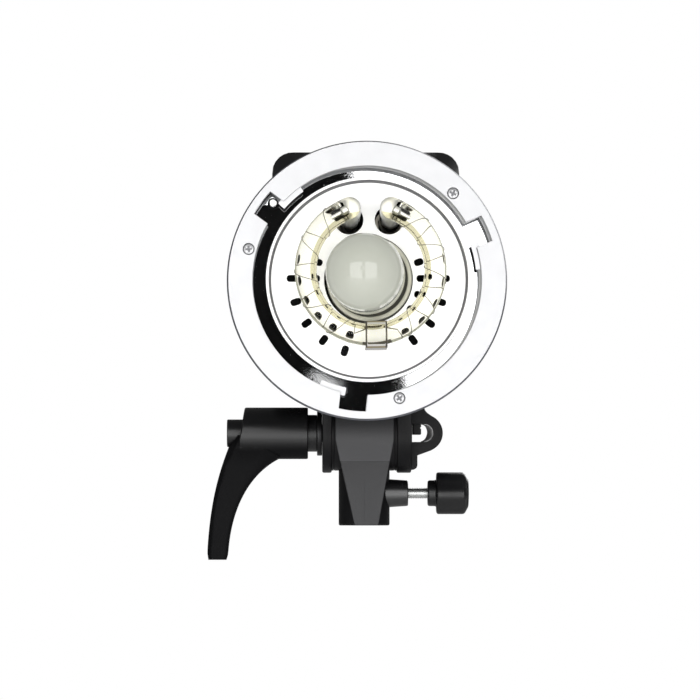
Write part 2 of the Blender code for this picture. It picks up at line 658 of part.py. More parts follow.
def tilt_lever(axis, hub, slant_top):
    """Hub with a slanted end and the curved arm below it. Local Z runs out from the head, X is up."""
    far = slant_top + 2 * HUB_SLANT * HUB_RADIUS
    barrel = [(0, hub), (HUB_RADIUS - EDGE, hub), (HUB_RADIUS, hub + EDGE), (HUB_RADIUS, far), (0, far)]
    body = turned(barrel, ROUND)
    cut = bmesh.ops.bisect_plane(body, geom=body.verts[:] + body.edges[:] + body.faces[:],
                                 plane_co=(HUB_RADIUS, 0, slant_top), plane_no=(HUB_SLANT, 0, 1),
                                 clear_outer=True)
    rim = [item for item in cut["geom_cut"] if isinstance(item, bmesh.types.BMEdge)]
    bmesh.ops.holes_fill(body, edges=rim)
    lever = piece("tilt_lever", tidy(body), "black_plastic", axis)
    tip_out = far + ARM_OFFSET
    tip_in = tip_out - ARM_TIP
    corner = ARM_TIP / 4
    low = -ARM_DROP
    start = slant_top + HUB_SLANT * HUB_RADIUS
    outer = [(start, 0), (start + ARM_SWEEP, -HUB_RADIUS * 1.3)]
    outer += [(tip_out - ARM_SWEEP / 5, low * 0.5), (tip_out, low + corner)]
    root = hub + HUB_RADIUS
    inner = [(tip_in, low + corner), (tip_in - ARM_TIP_SWEEP, low * 0.6)]
    inner += [(root + ARM_ROOT_SWEEP, -HUB_RADIUS * 1.5), (root, -HUB_RADIUS * 0.94)]
    outline = bezier(outer, 9) + arc(tip_out - corner, low + corner, corner, 0, -90, 2)[1:]
    outline += arc(tip_in + corner, low + corner, corner, -90, -180, 2)[:-1]
    outline += bezier(inner, 10) + [(root, -HUB_RADIUS / 2)]
    arm = extruded([outline], -ARM_WIDTH / 2, ARM_WIDTH / 2)
    sharp = [edge for edge in arm.edges if abs(edge.verts[0].co.z - edge.verts[1].co.z) < 1e-9]
    bmesh.ops.bevel(arm, geom=sharp, offset=ARM_EDGE, segments=1, affect="EDGES", clamp_overlap=True)
    for vert in arm.verts:
        vert.co.z *= 1 + ARM_TAPER * vert.co.y / ARM_DROP
    turn = Matrix(((0, 1, 0, 0), (0, 0, 1, 0), (1, 0, 0, 0), (0, 0, 0, 1)))
    join(lever, moved(arm, turn))
    return lever


def notch_angles(first):
    return [first + math.tau * i / 3 for i in range(3)]


def bezel(face):
    """Front ring with three keyed notches, stop lips and its screws."""
    back = -BEZEL_THICKNESS
    profile = [(THROAT_RADIUS, back), (BEZEL_RADIUS, back), (BEZEL_RADIUS, -EDGE), (BEZEL_RADIUS - EDGE, 0)]
    profile.append((THROAT_RADIUS, 0))
    ring = piece("bayonet_bezel", turned(profile, FINE), "silver_metal", face)
    half = NOTCH_WIDTH / 2
    for angle in notch_angles(NOTCH_ANGLE):
        turn = Matrix.Rotation(angle, 4, "Z")
        edge = math.degrees(half / THROAT_RADIUS)
        tip = math.degrees(half / NOTCH_RADIUS)
        key = [(THROAT_RADIUS - NOTCH_DEPTH, -half)] + arc(0, 0, NOTCH_RADIUS, -tip, tip, 4)
        key.append((THROAT_RADIUS - NOTCH_DEPTH, half))
        shape(ring, moved(extruded([key], back - MM, MM), turn))
        lip_end = -edge - math.degrees(LIP_ARC)
        root = THROAT_RADIUS + NOTCH_DEPTH / 4
        sector = arc(0, 0, THROAT_RADIUS - LIP_DEPTH, -edge, lip_end, 4) + arc(0, 0, root, lip_end, -edge, 4)
        lip_low = back + EDGE / 4
        join(ring, moved(extruded([sector], lip_low, lip_low + LIP_THICKNESS), turn))
    hole = SCREW_HEAD_RADIUS + GAP
    seat = -SCREW_HEAD - 2 * GAP
    shaft = SCREW_RADIUS + GAP
    bore = [(0, 2 * back), (shaft, 2 * back), (shaft, seat), (hole, seat), (hole, MM), (0, MM)]
    screw = [(0, seat - SCREW_LENGTH), (SCREW_RADIUS, seat - SCREW_LENGTH), (SCREW_RADIUS, seat + GAP)]
    screw += [(SCREW_HEAD_RADIUS, seat + GAP), (SCREW_HEAD_RADIUS, -GAP), (0, -GAP)]
    for i, angle in enumerate(notch_angles(SCREW_ANGLE)):
        spot = (SCREW_CIRCLE * math.cos(angle), SCREW_CIRCLE * math.sin(angle), 0)
        shape(ring, moved(turned(bore, SMALL), Matrix.Translation(spot)))
        piece("bezel_screw_" + str(i + 1), turned(screw, 12), "steel", face, spot)


def collar(face):
    """Moulded front frame: round behind the bezel, blending back into the housing's section."""
    section = body_outline(0)

    def ring(radius, height):
        angles = [math.atan2(y, x) for x, y in section]
        return [(radius * math.cos(a), radius * math.sin(a), height) for a in angles]

    front = -BEZEL_THICKNESS - GAP
    deck_inner = PAN_RADIUS - DECK_WIDTH
    loops = [ring(COLLAR_RADIUS, front), ring(COLLAR_RADIUS, -COLLAR_STRAIGHT)]
    loops.append([(x, y, -COLLAR_DEPTH) for x, y in section])
    loops.append([(x, y, -COLLAR_DEPTH) for x, y in body_outline(SHELL)])
    loops += [ring(COLLAR_INNER, -COLLAR_STRAIGHT), ring(COLLAR_INNER, DECK_BACK)]
    loops += [ring(deck_inner, DECK_BACK), ring(deck_inner, DECK_FACE)]
    loops += [ring(COLLAR_INNER, DECK_FACE), ring(COLLAR_INNER, front)]
    frame = piece("front_collar", skinned(loops, closed=True), "black_plastic", face)
    posts, bores = [], []
    for angle in notch_angles(SCREW_ANGLE):
        spot = Matrix.Translation((SCREW_CIRCLE * math.cos(angle), SCREW_CIRCLE * math.sin(angle), 0))
        posts.append(moved(cylinder(POST_RADIUS, DECK_FACE - DECK / 2, front, 14), spot))
        bores.append(moved(cylinder(SCREW_RADIUS + GAP, 2 * DECK_BACK, MM, 12), spot))
    join(frame, together(*posts))
    shape(frame, together(*bores))
    lock = Matrix.Rotation(LOCK_ANGLE, 4, "Z") @ Matrix.Translation((SCREW_CIRCLE, 0, 0))
    shape(frame, moved(cylinder(LOCK_PIN_RADIUS + RUN, 2 * DECK_BACK, MM), lock))
    half = SLIDER_WIDTH / 2 + RUN
    low = SLIDER_FACE - SLIDER_THICKNESS - LOCK_TRAVEL - 2 * RUN
    reach = COLLAR_RADIUS - SCREW_CIRCLE
    shape(frame, moved(block(0, 2 * reach, -half, half, low, SLIDER_FACE + RUN), lock))


def bayonet_lock(face):
    """Locking pin, the release slider it sits in, and the spring behind them."""
    spot = (SCREW_CIRCLE * math.cos(LOCK_ANGLE), SCREW_CIRCLE * math.sin(LOCK_ANGLE), 0)
    axis = empty("lock_axis", face, spot, (0, 0, LOCK_ANGLE))
    tip = -LOCK_PIN_SET_BACK
    shoulder = tip - LOCK_PIN_LENGTH
    tail = SLIDER_FACE - SLIDER_THICKNESS / 2
    pin = [(0, tail), (LOCK_PIN_TAIL, tail), (LOCK_PIN_TAIL, shoulder), (LOCK_PIN_RADIUS, shoulder)]
    pin += [(LOCK_PIN_RADIUS, tip - EDGE), (LOCK_PIN_RADIUS - EDGE, tip), (0, tip)]
    piece("lock_pin", turned(pin, SMALL), "steel", axis)
    half, tab = SLIDER_WIDTH / 2, SLIDER_TAB / 2
    wall = COLLAR_RADIUS - SCREW_CIRCLE + GAP
    outer = wall + SLIDER_TAB_PROUD
    outline = [(-SLIDER_INNER, -half), (wall, -half), (wall, -tab), (outer, -tab), (outer, tab), (wall, tab)]
    outline += [(wall, half), (-SLIDER_INNER, half)]
    hole = circle(0, 0, LOCK_PIN_TAIL + GAP, 12)
    back = SLIDER_FACE - SLIDER_THICKNESS
    piece("release_slider", extruded([outline, hole], back, SLIDER_FACE), "black_plastic", axis)
    low = back - GAP - LOCK_SPRING_LENGTH
    spring = coil(LOCK_SPRING_RADIUS, low, back - GAP, LOCK_SPRING_WIRE, 6)
    piece("lock_spring", spring, "steel", axis, (-LOCK_SPRING_INSET, 0, 0))


def tube_path():
    """Centreline of the flash tube: back leg, bend, open ring, bend, back leg."""
    start, end = math.pi / 2 + TUBE_OPENING, math.tau + math.pi / 2 - TUBE_OPENING
    ring = []
    steps = 26
    for i in range(steps + 1):
        angle = start + (end - start) * i / steps
        height = TUBE_RISE + TUBE_RING * math.sin(angle)
        ring.append(Vector((TUBE_RING * math.cos(angle), height, TUBE_AHEAD)))
    heading = Vector((math.sin(start), -math.cos(start), 0))
    bend = []
    for i in range(1, 5):
        turn = math.pi / 2 * i / 4
        bend.append(ring[0] + TUBE_BEND * (heading * math.sin(turn) - Vector((0, 0, 1 - math.cos(turn)))))
    bend.append(bend[-1] + Vector((0, -LEG_DROP, -LEG_SET_BACK - bend[-1].z)))
    mirrored = [Vector((-p.x, p.y, p.z)) for p in bend]
    return bend[::-1] + ring + mirrored


def flash_tube(face):
    """Open glass ring with two legs, its electrodes, sockets, foot clip and trigger wire."""
    path = tube_path()
    outside = sleeve(path, TUBE_RADIUS, 10)
    inside = sleeve(path, TUBE_RADIUS - TUBE_WALL, 10)
    piece("flash_tube", skinned(outside + inside[::-1], closed=True), "clear_glass", face)
    for name, foot, knee in (("left", path[0], path[1]), ("right", path[-1], path[-2])):
        along = (knee - foot).normalized()
        reach = (knee - foot).length
        seal = [(0, -GAP - SEAL_THICKNESS), (TUBE_RADIUS, -GAP - SEAL_THICKNESS), (TUBE_RADIUS, -GAP)]
        seal += [(ELECTRODE_RADIUS, -GAP), (ELECTRODE_RADIUS, reach), (0, reach)]
        tilt = along.to_track_quat("Z", "Y").to_euler()
        piece("tube_electrode_" + name, turned(seal, 12), "steel", face, foot, tilt)
        top = foot.z + SOCKET_RISE
        low = BULKHEAD_FACE + GAP
        post = [(0, low), (SOCKET_RADIUS, low), (SOCKET_RADIUS, top), (0, top)]
        middle = foot + along * (SOCKET_RISE / 2)
        spot = (middle.x, middle.y, 0)
        socket = piece("tube_socket_" + name, turned(post, 20), "ceramic", face, spot)
        bed = foot - along * (SEAL_THICKNESS + 2 * GAP)
        cup = skinned(sleeve([bed - Vector(spot), knee - Vector(spot)], TUBE_RADIUS + RUN, 12))
        shape(socket, cup)
    tube_clip(face)
    trigger_wire(face)


def tube_clip(face):
    """Sprung strap over the tube, standing on the lamp plate."""
    ring_sag = CLIP_WIDTH ** 2 / (8 * TUBE_RING)
    inner = TUBE_RADIUS + GAP + ring_sag
    outer = inner + CLIP_THICKNESS
    foot = PLATE_FACE + GAP - TUBE_AHEAD
    outline = [(-outer, foot), (-inner, foot)] + arc(0, 0, inner, 180, 0, 10)
    outline += [(inner, foot), (outer, foot)] + arc(0, 0, outer, 0, 180, 10)
    spot = (TUBE_RING * math.cos(CLIP_ANGLE), TUBE_RISE + TUBE_RING * math.sin(CLIP_ANGLE), TUBE_AHEAD)
    strap = extruded([outline], -CLIP_WIDTH / 2, CLIP_WIDTH / 2)
    piece("tube_clip", strap, "steel", face, spot, (math.radians(90), 0, CLIP_ANGLE))


def trigger_wire(face):
    """Fine wire wound round the glass ring, passing behind it at the clip."""
    start, end = math.pi / 2 + TUBE_OPENING, math.tau + math.pi / 2 - TUBE_OPENING
    clear = (CLIP_WIDTH / 2 + TUBE_RADIUS) / TUBE_RING
    spans = ((start, CLIP_ANGLE - clear), (CLIP_ANGLE + clear, end))
    steps = 8
    reach = TUBE_RADIUS + WIRE_LIFT
    path = []
    for low, high in spans:
        for i in range(WIRE_TURNS * steps + 1):
            angle = low + (high - low) * i / (WIRE_TURNS * steps)
            wind = math.tau * i / steps
            radius = TUBE_RING + reach * math.sin(wind)
            height = TUBE_AHEAD - reach * math.cos(wind)
            path.append(Vector((radius * math.cos(angle), TUBE_RISE + radius * math.sin(angle), height)))
    piece("trigger_wire", skinned(sleeve(path, WIRE_RADIUS, 4)), "steel", face)


def front_plates(face):
    """Bright bayonet plate and the white lamp pan set into it."""
    lock = (SCREW_CIRCLE * math.cos(LOCK_ANGLE), SCREW_CIRCLE * math.sin(LOCK_ANGLE))
    outlines = [circle(0, 0, COLLAR_INNER - GAP, FINE), circle(0, 0, PAN_RADIUS + GAP, FINE)]
    outlines.append(circle(*lock, LOCK_PIN_RADIUS + 2 * RUN, SMALL))
    for angle in notch_angles(SCREW_ANGLE):
        spot = (SCREW_CIRCLE * math.cos(angle), SCREW_CIRCLE * math.sin(angle))
        outlines.append(circle(*spot, POST_RADIUS + GAP, 14))
    piece("bayonet_plate", extruded(outlines, PLATE_BACK, PLATE_FACE), "mirror_metal", face)
    outlines = [circle(0, 0, PAN_RADIUS - SHEET / 2, FINE), circle(0, 0, WELL_RADIUS, ROUND)]
    for foot, knee in ((tube_path()[0], tube_path()[1]), (tube_path()[-1], tube_path()[-2])):
        at_plate = foot.lerp(knee, (PLATE_FACE - foot.z) / (knee.z - foot.z))
        outlines.append(circle(at_plate.x, at_plate.y, TUBE_RADIUS + LEG_HOLE, SMALL))
    half = SLOT_WIDTH / 2
    for step in SLOT_STEPS:
        turn = Matrix.Rotation(step * SLOT_PITCH, 2)
        slot = arc(SLOT_OUTER - half, 0, half, -90, 90, 3) + arc(SLOT_INNER + half, 0, half, 90, 270, 3)
        outlines.append([tuple(turn @ Vector(point)) for point in slot])
    pan = piece("lamp_plate", extruded(outlines, PLATE_BACK, PLATE_FACE), "white_enamel", face)
    inner = PAN_RADIUS - SHEET
    brim = PLATE_FACE + PAN_RIM
    low = PLATE_BACK + SHEET / 8
    join(pan, turned([(inner, low), (PAN_RADIUS, low), (PAN_RADIUS, brim), (inner, brim)], FINE))


def modelling_lamp(face):
    """Frosted lamp, its screw cap and the ceramic holder on the bulkhead."""
    neck = -CAP_SET_BACK + GAP
    shoulder = neck + LAMP_SHOULDER
    dome = shoulder + LAMP_STRAIGHT
    glass = [(0, neck), (CAP_RADIUS - CAP_THREAD, neck), (CAP_RADIUS, neck + LAMP_SHOULDER * 0.4)]
    glass.append((LAMP_RADIUS, shoulder))
    for i in range(7):
        turn = math.pi / 2 * i / 6
        glass.append((LAMP_RADIUS * math.cos(turn), dome + (LAMP_AHEAD - dome) * math.sin(turn)))
    glass[-1] = (0, LAMP_AHEAD)
    bulb = turned(glass, ROUND)
    for vert in bulb.verts:
        vert.co.x += LAMP_LEAN_ACROSS * (vert.co.z - neck)
        vert.co.y += LAMP_LEAN_UP * (vert.co.z - neck)
    piece("modelling_lamp", bulb, "frosted_glass", face)
    low = -CAP_SET_BACK - CAP_LENGTH
    cap = [(0, low), (CAP_RADIUS / 3, low), (CAP_RADIUS - 2 * CAP_THREAD, low + CAP_LENGTH / 6)]
    for i in range(1, 4):
        height = low + CAP_LENGTH * (0.2 + 0.2 * i)
        cap += [(CAP_RADIUS, height - CAP_LENGTH * 0.12), (CAP_RADIUS - CAP_THREAD, height)]
    cap += [(CAP_RADIUS, -CAP_SET_BACK), (0, -CAP_SET_BACK)]
    piece("lamp_cap", turned(cap, 24), "brass", face)
    bore = CAP_RADIUS + RUN
    seat = low - GAP
    base = BULKHEAD_FACE + GAP
    brim = PLATE_BACK
    collar_low = neck - LAMP_SHOULDER / 2
    outer = WELL_RADIUS - GAP
    foot = bore + HOLDER_WALL / 2
    holder = [(0, base), (foot, base), (foot, collar_low), (outer, collar_low)]
    holder += [(outer, brim), (LAMP_RADIUS, brim), (bore, neck), (bore, seat), (0, seat)]
    piece("lamp_holder", turned(holder, ROUND), "ceramic", face)


def half_shell(upper):
    """One cover's section: the housing outline above or below the seam, one wall thick."""
    sign = 1 if upper else -1
    level = SEAM + sign * GAP / 2
    far = BODY_TOP if upper else -BODY_DROP

    def path(inset):
        radius = BODY_CORNER - inset
        half = BODY_HALF - inset
        edge = far - sign * inset
        right = arc(half - radius, edge - sign * radius, radius, 0, 90 * sign, 5)
        left = arc(radius - half, edge - sign * radius, radius, 90 * sign, 180 * sign, 5)
        return [(half, level)] + right + left + [(-half, level)]

    return path(0) + path(SHELL)[::-1]


def panel_corners():
    across = INNER_HALF - PANEL_BOSS
    return [(across, BODY_TOP - SHELL - PANEL_BOSS), (-across, BODY_TOP - SHELL - PANEL_BOSS),
            (across, -BODY_DROP + SHELL + PANEL_BOSS), (-across, -BODY_DROP + SHELL + PANEL_BOSS)]


def covers(face):
    """Upper cover with side vents, lower cover with board rails, and their screw bosses."""
    upper = piece("upper_cover", extruded([half_shell(True)], COVER_REAR, COVER_FRONT), "black_plastic", face)
    tray = extruded([half_shell(False)], COVER_REAR, COVER_FRONT)
    lower = piece("lower_cover", tray, "black_plastic", face)
    corners = panel_corners()
    for cover, spots in ((upper, corners[:2]), (lower, corners[2:])):
        bosses, pilots = [], []
        for x, y in spots:
            outward = (math.copysign(PANEL_BOSS / 4, x), math.copysign(PANEL_BOSS / 4, y))
            spot = Matrix.Translation((x + outward[0], y + outward[1], 0))
            boss_end = COVER_REAR + PANEL_BOSS_LENGTH
            bosses.append(moved(cylinder(PANEL_BOSS, COVER_REAR, boss_end, 14), spot))
            pilots.append(moved(cylinder(SCREW_RADIUS + GAP, 2 * COVER_REAR, boss_end - SHELL, 12), spot))
        join(cover, together(*bosses))
        shape(cover, together(*pilots))
    slots = []
    for i in range(VENT_COUNT):
        middle = COVER_FRONT - VENT_SET_BACK - i * VENT_PITCH
        low = SEAM + 2 * SHELL
        slots.append(block(-2 * BODY_HALF, 2 * BODY_HALF, low, low + VENT_HEIGHT,
                           middle - VENT_WIDTH / 2, middle + VENT_WIDTH / 2))
    shape(upper, together(*slots))
    rails = []
    for side in (-1, 1):
        near, far = sorted((side * (INNER_HALF - RAIL), side * (INNER_HALF + SHELL / 2)))
        end = -POWER_BOARD_SET_BACK - POWER_BOARD_LENGTH
        rails.append(block(near, far, -RAIL, 0, end, -POWER_BOARD_SET_BACK))
    join(lower, together(*rails))


def bulkhead_and_fan(face):
    """Wall behind the lamp that carries its holder and the cooling fan."""
    middle = (BODY_TOP - BODY_DROP) / 2
    outlines = [body_section(SHELL + GAP)]
    vent = FAN_HUB * 0.55
    ring = (WELL_RADIUS + SLOT_OUTER) / 2
    for degrees in (180, 215, 250, 290, 325, 360):
        angle = math.radians(degrees)
        outlines.append(circle(ring * math.cos(angle), ring * math.sin(angle), vent, SMALL))
    wall = piece("bulkhead", extruded(outlines, BULKHEAD_BACK, BULKHEAD_FACE), "black_plastic", face)
    lock = Matrix.Rotation(LOCK_ANGLE, 4, "Z") @ Matrix.Translation((SCREW_CIRCLE - LOCK_SPRING_INSET, 0, 0))
    spring_low = SLIDER_FACE - SLIDER_THICKNESS - 2 * GAP - LOCK_SPRING_LENGTH
    post = LOCK_SPRING_RADIUS + 2 * LOCK_SPRING_WIRE
    join(wall, moved(cylinder(post, BULKHEAD_FACE - BULKHEAD / 2, spring_low, 12), lock))
    axis = empty("fan_axis", face, (0, middle, BULKHEAD_BACK - GAP))
    half = FAN_SIZE / 2
    bore = FAN_RADIUS + 4 * RUN
    frame = extruded([rounded(-half, half, -half, half, half / 8), circle(0, 0, bore, ROUND)], -FAN_DEPTH, 0)
    housing = piece("fan_frame", frame, "black_plastic", axis)
    back = -FAN_DEPTH + FAN_SPIDER / 8
    spider = back + FAN_SPIDER
    for i in range(3):
        turn = Matrix.Rotation(math.tau * i / 3, 4, "Z")
        join(housing, moved(block(0, bore + MM, -FAN_SPIDER, FAN_SPIDER, back, spider), turn))
    rear = back + FAN_SPIDER / 8
    hub = [(0, rear), (FAN_HUB, rear), (FAN_HUB, spider + GAP), (FAN_PIN, spider + GAP)]
    hub += [(FAN_PIN, -FAN_DEPTH / 4), (0, -FAN_DEPTH / 4)]
    join(housing, turned(hub, SMALL))
    pitch = 360 / FAN_BLADES
    star = []
    for i in range(FAN_BLADES):
        start = i * pitch
        star += arc(0, 0, FAN_HUB, start, start + pitch * 0.6, 2)
        star += arc(0, 0, FAN_RADIUS, start + pitch * 0.62, start + pitch * 0.9, 2)
    loops = []
    for i in range(4):
        height = spider + 2 * GAP + (-FAN_DEPTH / 5 - spider) * i / 3
        turn = Matrix.Rotation(FAN_TWIST * i / 3, 2)
        loops.append([(*(turn @ Vector(point)), height) for point in star])
    rotor = piece("fan_rotor", skinned(loops), "black_plastic", axis)
    shape(rotor, cylinder(FAN_PIN + GAP, -FAN_DEPTH, FAN_DEPTH))


def electronics(face):
    """Flash capacitors on the floor, the power board on its rails and the charging coil."""
    height = -BODY_DROP + SHELL + GAP + CAPACITOR_RADIUS
    low = -CAPACITOR_SET_BACK - CAPACITOR_LENGTH
    groove = CAPACITOR_RADIUS - MM
    can = [(0, low), (CAPACITOR_RADIUS, low), (CAPACITOR_RADIUS, -CAPACITOR_SET_BACK - CAN_NECK - CAN_BEAD)]
    can.append((groove, -CAPACITOR_SET_BACK - CAN_NECK))
    can.append((CAPACITOR_RADIUS, -CAPACITOR_SET_BACK - CAN_NECK + CAN_BEAD))
    can += [(CAPACITOR_RADIUS, -CAPACITOR_SET_BACK), (0, -CAPACITOR_SET_BACK)]
    for name, side in (("left", -1), ("right", 1)):
        spot = (side * (CAPACITOR_RADIUS + GAP), height, 0)
        piece("capacitor_" + name, turned(can, 24), "smoked_lens", face, spot)
    half = INNER_HALF - GAP
    end = -POWER_BOARD_SET_BACK - POWER_BOARD_LENGTH
    board = block(-half, half, GAP, GAP + BOARD, end, -POWER_BOARD_SET_BACK)
    piece("power_board", board, "circuit_board", face)
    seat = 2 * GAP + BOARD
    size = COIL_SIZE / 2
    winding = [(0, seat), (size, seat), (size, seat + COIL_FLANGE), (size - COIL_FLANGE, seat + COIL_FLANGE)]
    upper = seat + COIL_HEIGHT - COIL_FLANGE
    winding += [(size - COIL_FLANGE, upper), (size, upper)]
    winding += [(size, seat + COIL_HEIGHT), (0, seat + COIL_HEIGHT)]
    upright = (math.radians(-90), 0, 0)
    middle = -POWER_BOARD_SET_BACK - POWER_BOARD_LENGTH / 2
    piece("charging_coil", turned(winding, 20), "brass", face, (0, 0, middle), upright)


def rear_panel(back):
    """Control panel with its cut-outs and board posts, and the four screws that hold it."""
    corners = panel_corners()
    spots = [(x + math.copysign(PANEL_BOSS / 4, x), y + math.copysign(PANEL_BOSS / 4, y)) for x, y in corners]
    half = DISPLAY_HALF + GAP
    tall = DISPLAY_HEIGHT / 2 + GAP
    outlines = [body_section(0), rounded(-half, half, DISPLAY_RISE - tall, DISPLAY_RISE + tall, MM, 2)]
    for x in key_places():
        wide, high = KEY_HALF + GAP, KEY_HEIGHT / 2 + GAP
        outlines.append(rounded(x - wide, x + wide, KEY_RISE - high, KEY_RISE + high, MM, 2))
    outlines.append(circle(0, -DIAL_DROP, DIAL_SHAFT + RUN, SMALL))
    outlines.append(circle(0, SENSOR_RISE, SENSOR_RADIUS * 0.75 + GAP, SMALL))
    outlines.append(circle(-SIDE_JACKS, -SIDE_JACKS_DROP, JACK_RADIUS + GAP, SMALL))
    outlines.append(circle(SIDE_JACKS, -SIDE_JACKS_DROP, FUSE_PLUG + RUN, 20))
    sockets = ((SWITCH_ACROSS, SWITCH_HALF, SWITCH_HEIGHT), (INLET_ACROSS, INLET_HALF, INLET_HEIGHT))
    for across, wide, high in sockets:
        low = -POWER_ROW_DROP - high / 2 - GAP
        outlines.append(rectangle(across - wide - GAP, across + wide + GAP, low, low + high + 2 * GAP))
    for spot in spots:
        outlines.append(circle(*spot, SCREW_RADIUS + GAP, 12))
    panel = piece("rear_panel", extruded(outlines, -PANEL, 0), "charcoal_plastic", back)
    across = CONTROL_BOARD_HALF - POST_RADIUS
    posts = []
    for x in (-across, across):
        for y in (DISPLAY_RISE - DISPLAY_HEIGHT / 3, DISPLAY_RISE + DISPLAY_HEIGHT / 2):
            spot = Matrix.Translation((x, y, 0))
            posts.append(moved(cylinder(POST_RADIUS, GAP - CONTROL_BOARD_SET_BACK, -PANEL / 2, 12), spot))
    join(panel, together(*posts))
    screw = [(0, -SCREW_LENGTH), (SCREW_RADIUS, -SCREW_LENGTH), (SCREW_RADIUS, GAP), (SCREW_HEAD_RADIUS, GAP)]
    screw.append((SCREW_HEAD_RADIUS, GAP + SCREW_HEAD / 2))
    screw += [(SCREW_HEAD_RADIUS / 2, GAP + SCREW_HEAD), (0, GAP + SCREW_HEAD)]
    for i, spot in enumerate(spots):
        piece("panel_screw_" + str(i + 1), turned(screw, 12), "steel", back, (*spot, 0))


def key_places():
    return [KEY_PITCH * (i - 1.5) for i in range(4)]


def control_board(back):
    """Board behind the panel with its display block, dial encoder and key switches."""
    wide = CONTROL_BOARD_HALF
    narrow = DIAL_RADIUS + 2 * POST_RADIUS
    foot = -DIAL_DROP - DIAL_SHAFT * 2.4
    step = KEY_RISE - KEY_HEIGHT
    top = DISPLAY_RISE + DISPLAY_HEIGHT * 0.7
    outline = [(-narrow, foot), (narrow, foot), (narrow, step), (wide, step), (wide, top), (-wide, top)]
    outline += [(-wide, step), (-narrow, step)]
    face = -CONTROL_BOARD_SET_BACK
    board = piece("control_board", extruded([outline], face - BOARD, face), "circuit_board", back)
    half, tall = DISPLAY_HALF + MM, DISPLAY_HEIGHT / 2 + MM
    sunk = face - BOARD / 2
    blocks = [block(-half, half, DISPLAY_RISE - tall, DISPLAY_RISE + tall, sunk, -PANEL - GAP)]
    size = DIAL_SHAFT * 2
    blocks.append(block(-size, size, -DIAL_DROP - size, -DIAL_DROP + size, sunk, face / 2))
    key_top = -PANEL - 2 * GAP - KEY_FLANGE - KEY_TRAVEL
    for x in key_places():
        pad = KEY_HALF / 2
        blocks.append(block(x - pad, x + pad, KEY_RISE - pad, KEY_RISE + pad, sunk, key_top))
    join(board, together(*blocks))
    window = [rounded(-DISPLAY_HALF, DISPLAY_HALF, -DISPLAY_HEIGHT / 2, DISPLAY_HEIGHT / 2, MM, 2)]
    lens = extruded(window, -PANEL, -GAP)
    piece("display_window", lens, "smoked_lens", back, (0, DISPLAY_RISE, 0))


def rear_controls(back):
    """Dial, keys, sensor, sync jack and fuse cap on the panel."""
    steps = DIAL_FLUTES * 2
    rows = [(DIAL_RADIUS, 2 * GAP, 0), (DIAL_RADIUS, DIAL_LENGTH * 0.8, 1)]
    rows.append((DIAL_RADIUS * 0.86, DIAL_LENGTH, 0))
    loops = []
    for radius, height, flute in rows:
        reach = [radius - flute * GAP * (k % 2) for k in range(steps)]
        angles = [math.tau * k / steps for k in range(steps)]
        loops.append([(r * math.cos(a), r * math.sin(a), height) for r, a in zip(reach, angles)])
    dial = piece("power_dial", skinned(loops), "black_plastic", back, (0, -DIAL_DROP, 0))
    join(dial, cylinder(DIAL_SHAFT, GAP - CONTROL_BOARD_SET_BACK / 2, DIAL_LENGTH / 2, SMALL))
    for name, x in zip(("lamp_key", "sound_key", "slave_key", "test_key"), key_places()):
        flange = -PANEL - GAP
        rows = [(EDGE, flange - KEY_FLANGE), (EDGE, flange), (0, flange)]
        rows += [(0, KEY_PROUD - EDGE), (-EDGE, KEY_PROUD)]
        loops = []
        for grow, height in rows:
            wide, high = KEY_HALF + grow, KEY_HEIGHT / 2 + grow
            loops.append([(a, b, height) for a, b in rounded(-wide, wide, -high, high, MM, 2)])
        piece(name, skinned(loops), "grey_key", back, (x, KEY_RISE, 0))
    stem = SENSOR_RADIUS * 0.75
    dome = [(0, -PANEL), (stem, -PANEL), (stem, GAP), (SENSOR_RADIUS, GAP)]
    dome += [(r, GAP + z) for r, z in arc(0, 0, SENSOR_RADIUS, 18, 72, 3)] + [(0, GAP + SENSOR_RADIUS)]
    piece("slave_sensor", turned(dome, 20), "red_lens", back, (0, SENSOR_RISE, 0))
    flange = JACK_RADIUS + FLANGE
    barrel = -3 * JACK_RADIUS
    jack = [(0, barrel), (JACK_RADIUS, barrel), (JACK_RADIUS, GAP), (flange, GAP)]
    jack.append((flange, GAP + FLANGE_THICKNESS))
    jack += [(JACK_BORE, GAP + FLANGE_THICKNESS), (JACK_BORE, barrel * 0.8), (0, barrel * 0.8)]
    piece("sync_jack", turned(jack, 20), "steel", back, (-SIDE_JACKS, -SIDE_JACKS_DROP, 0))
    length = FUSE_RADIUS
    cap = [(0, -4 * FUSE_PLUG), (FUSE_PLUG, -4 * FUSE_PLUG), (FUSE_PLUG, GAP), (FUSE_RADIUS, GAP)]
    cap += [(FUSE_RADIUS, length - EDGE), (FUSE_RADIUS - EDGE, length), (0, length)]
    fuse = piece("fuse_cap", turned(cap, 20), "black_plastic", back, (SIDE_JACKS, -SIDE_JACKS_DROP, 0))
    shape(fuse, block(-2 * FUSE_RADIUS, 2 * FUSE_RADIUS, -EDGE, EDGE, length - 2 * EDGE, 2 * length))


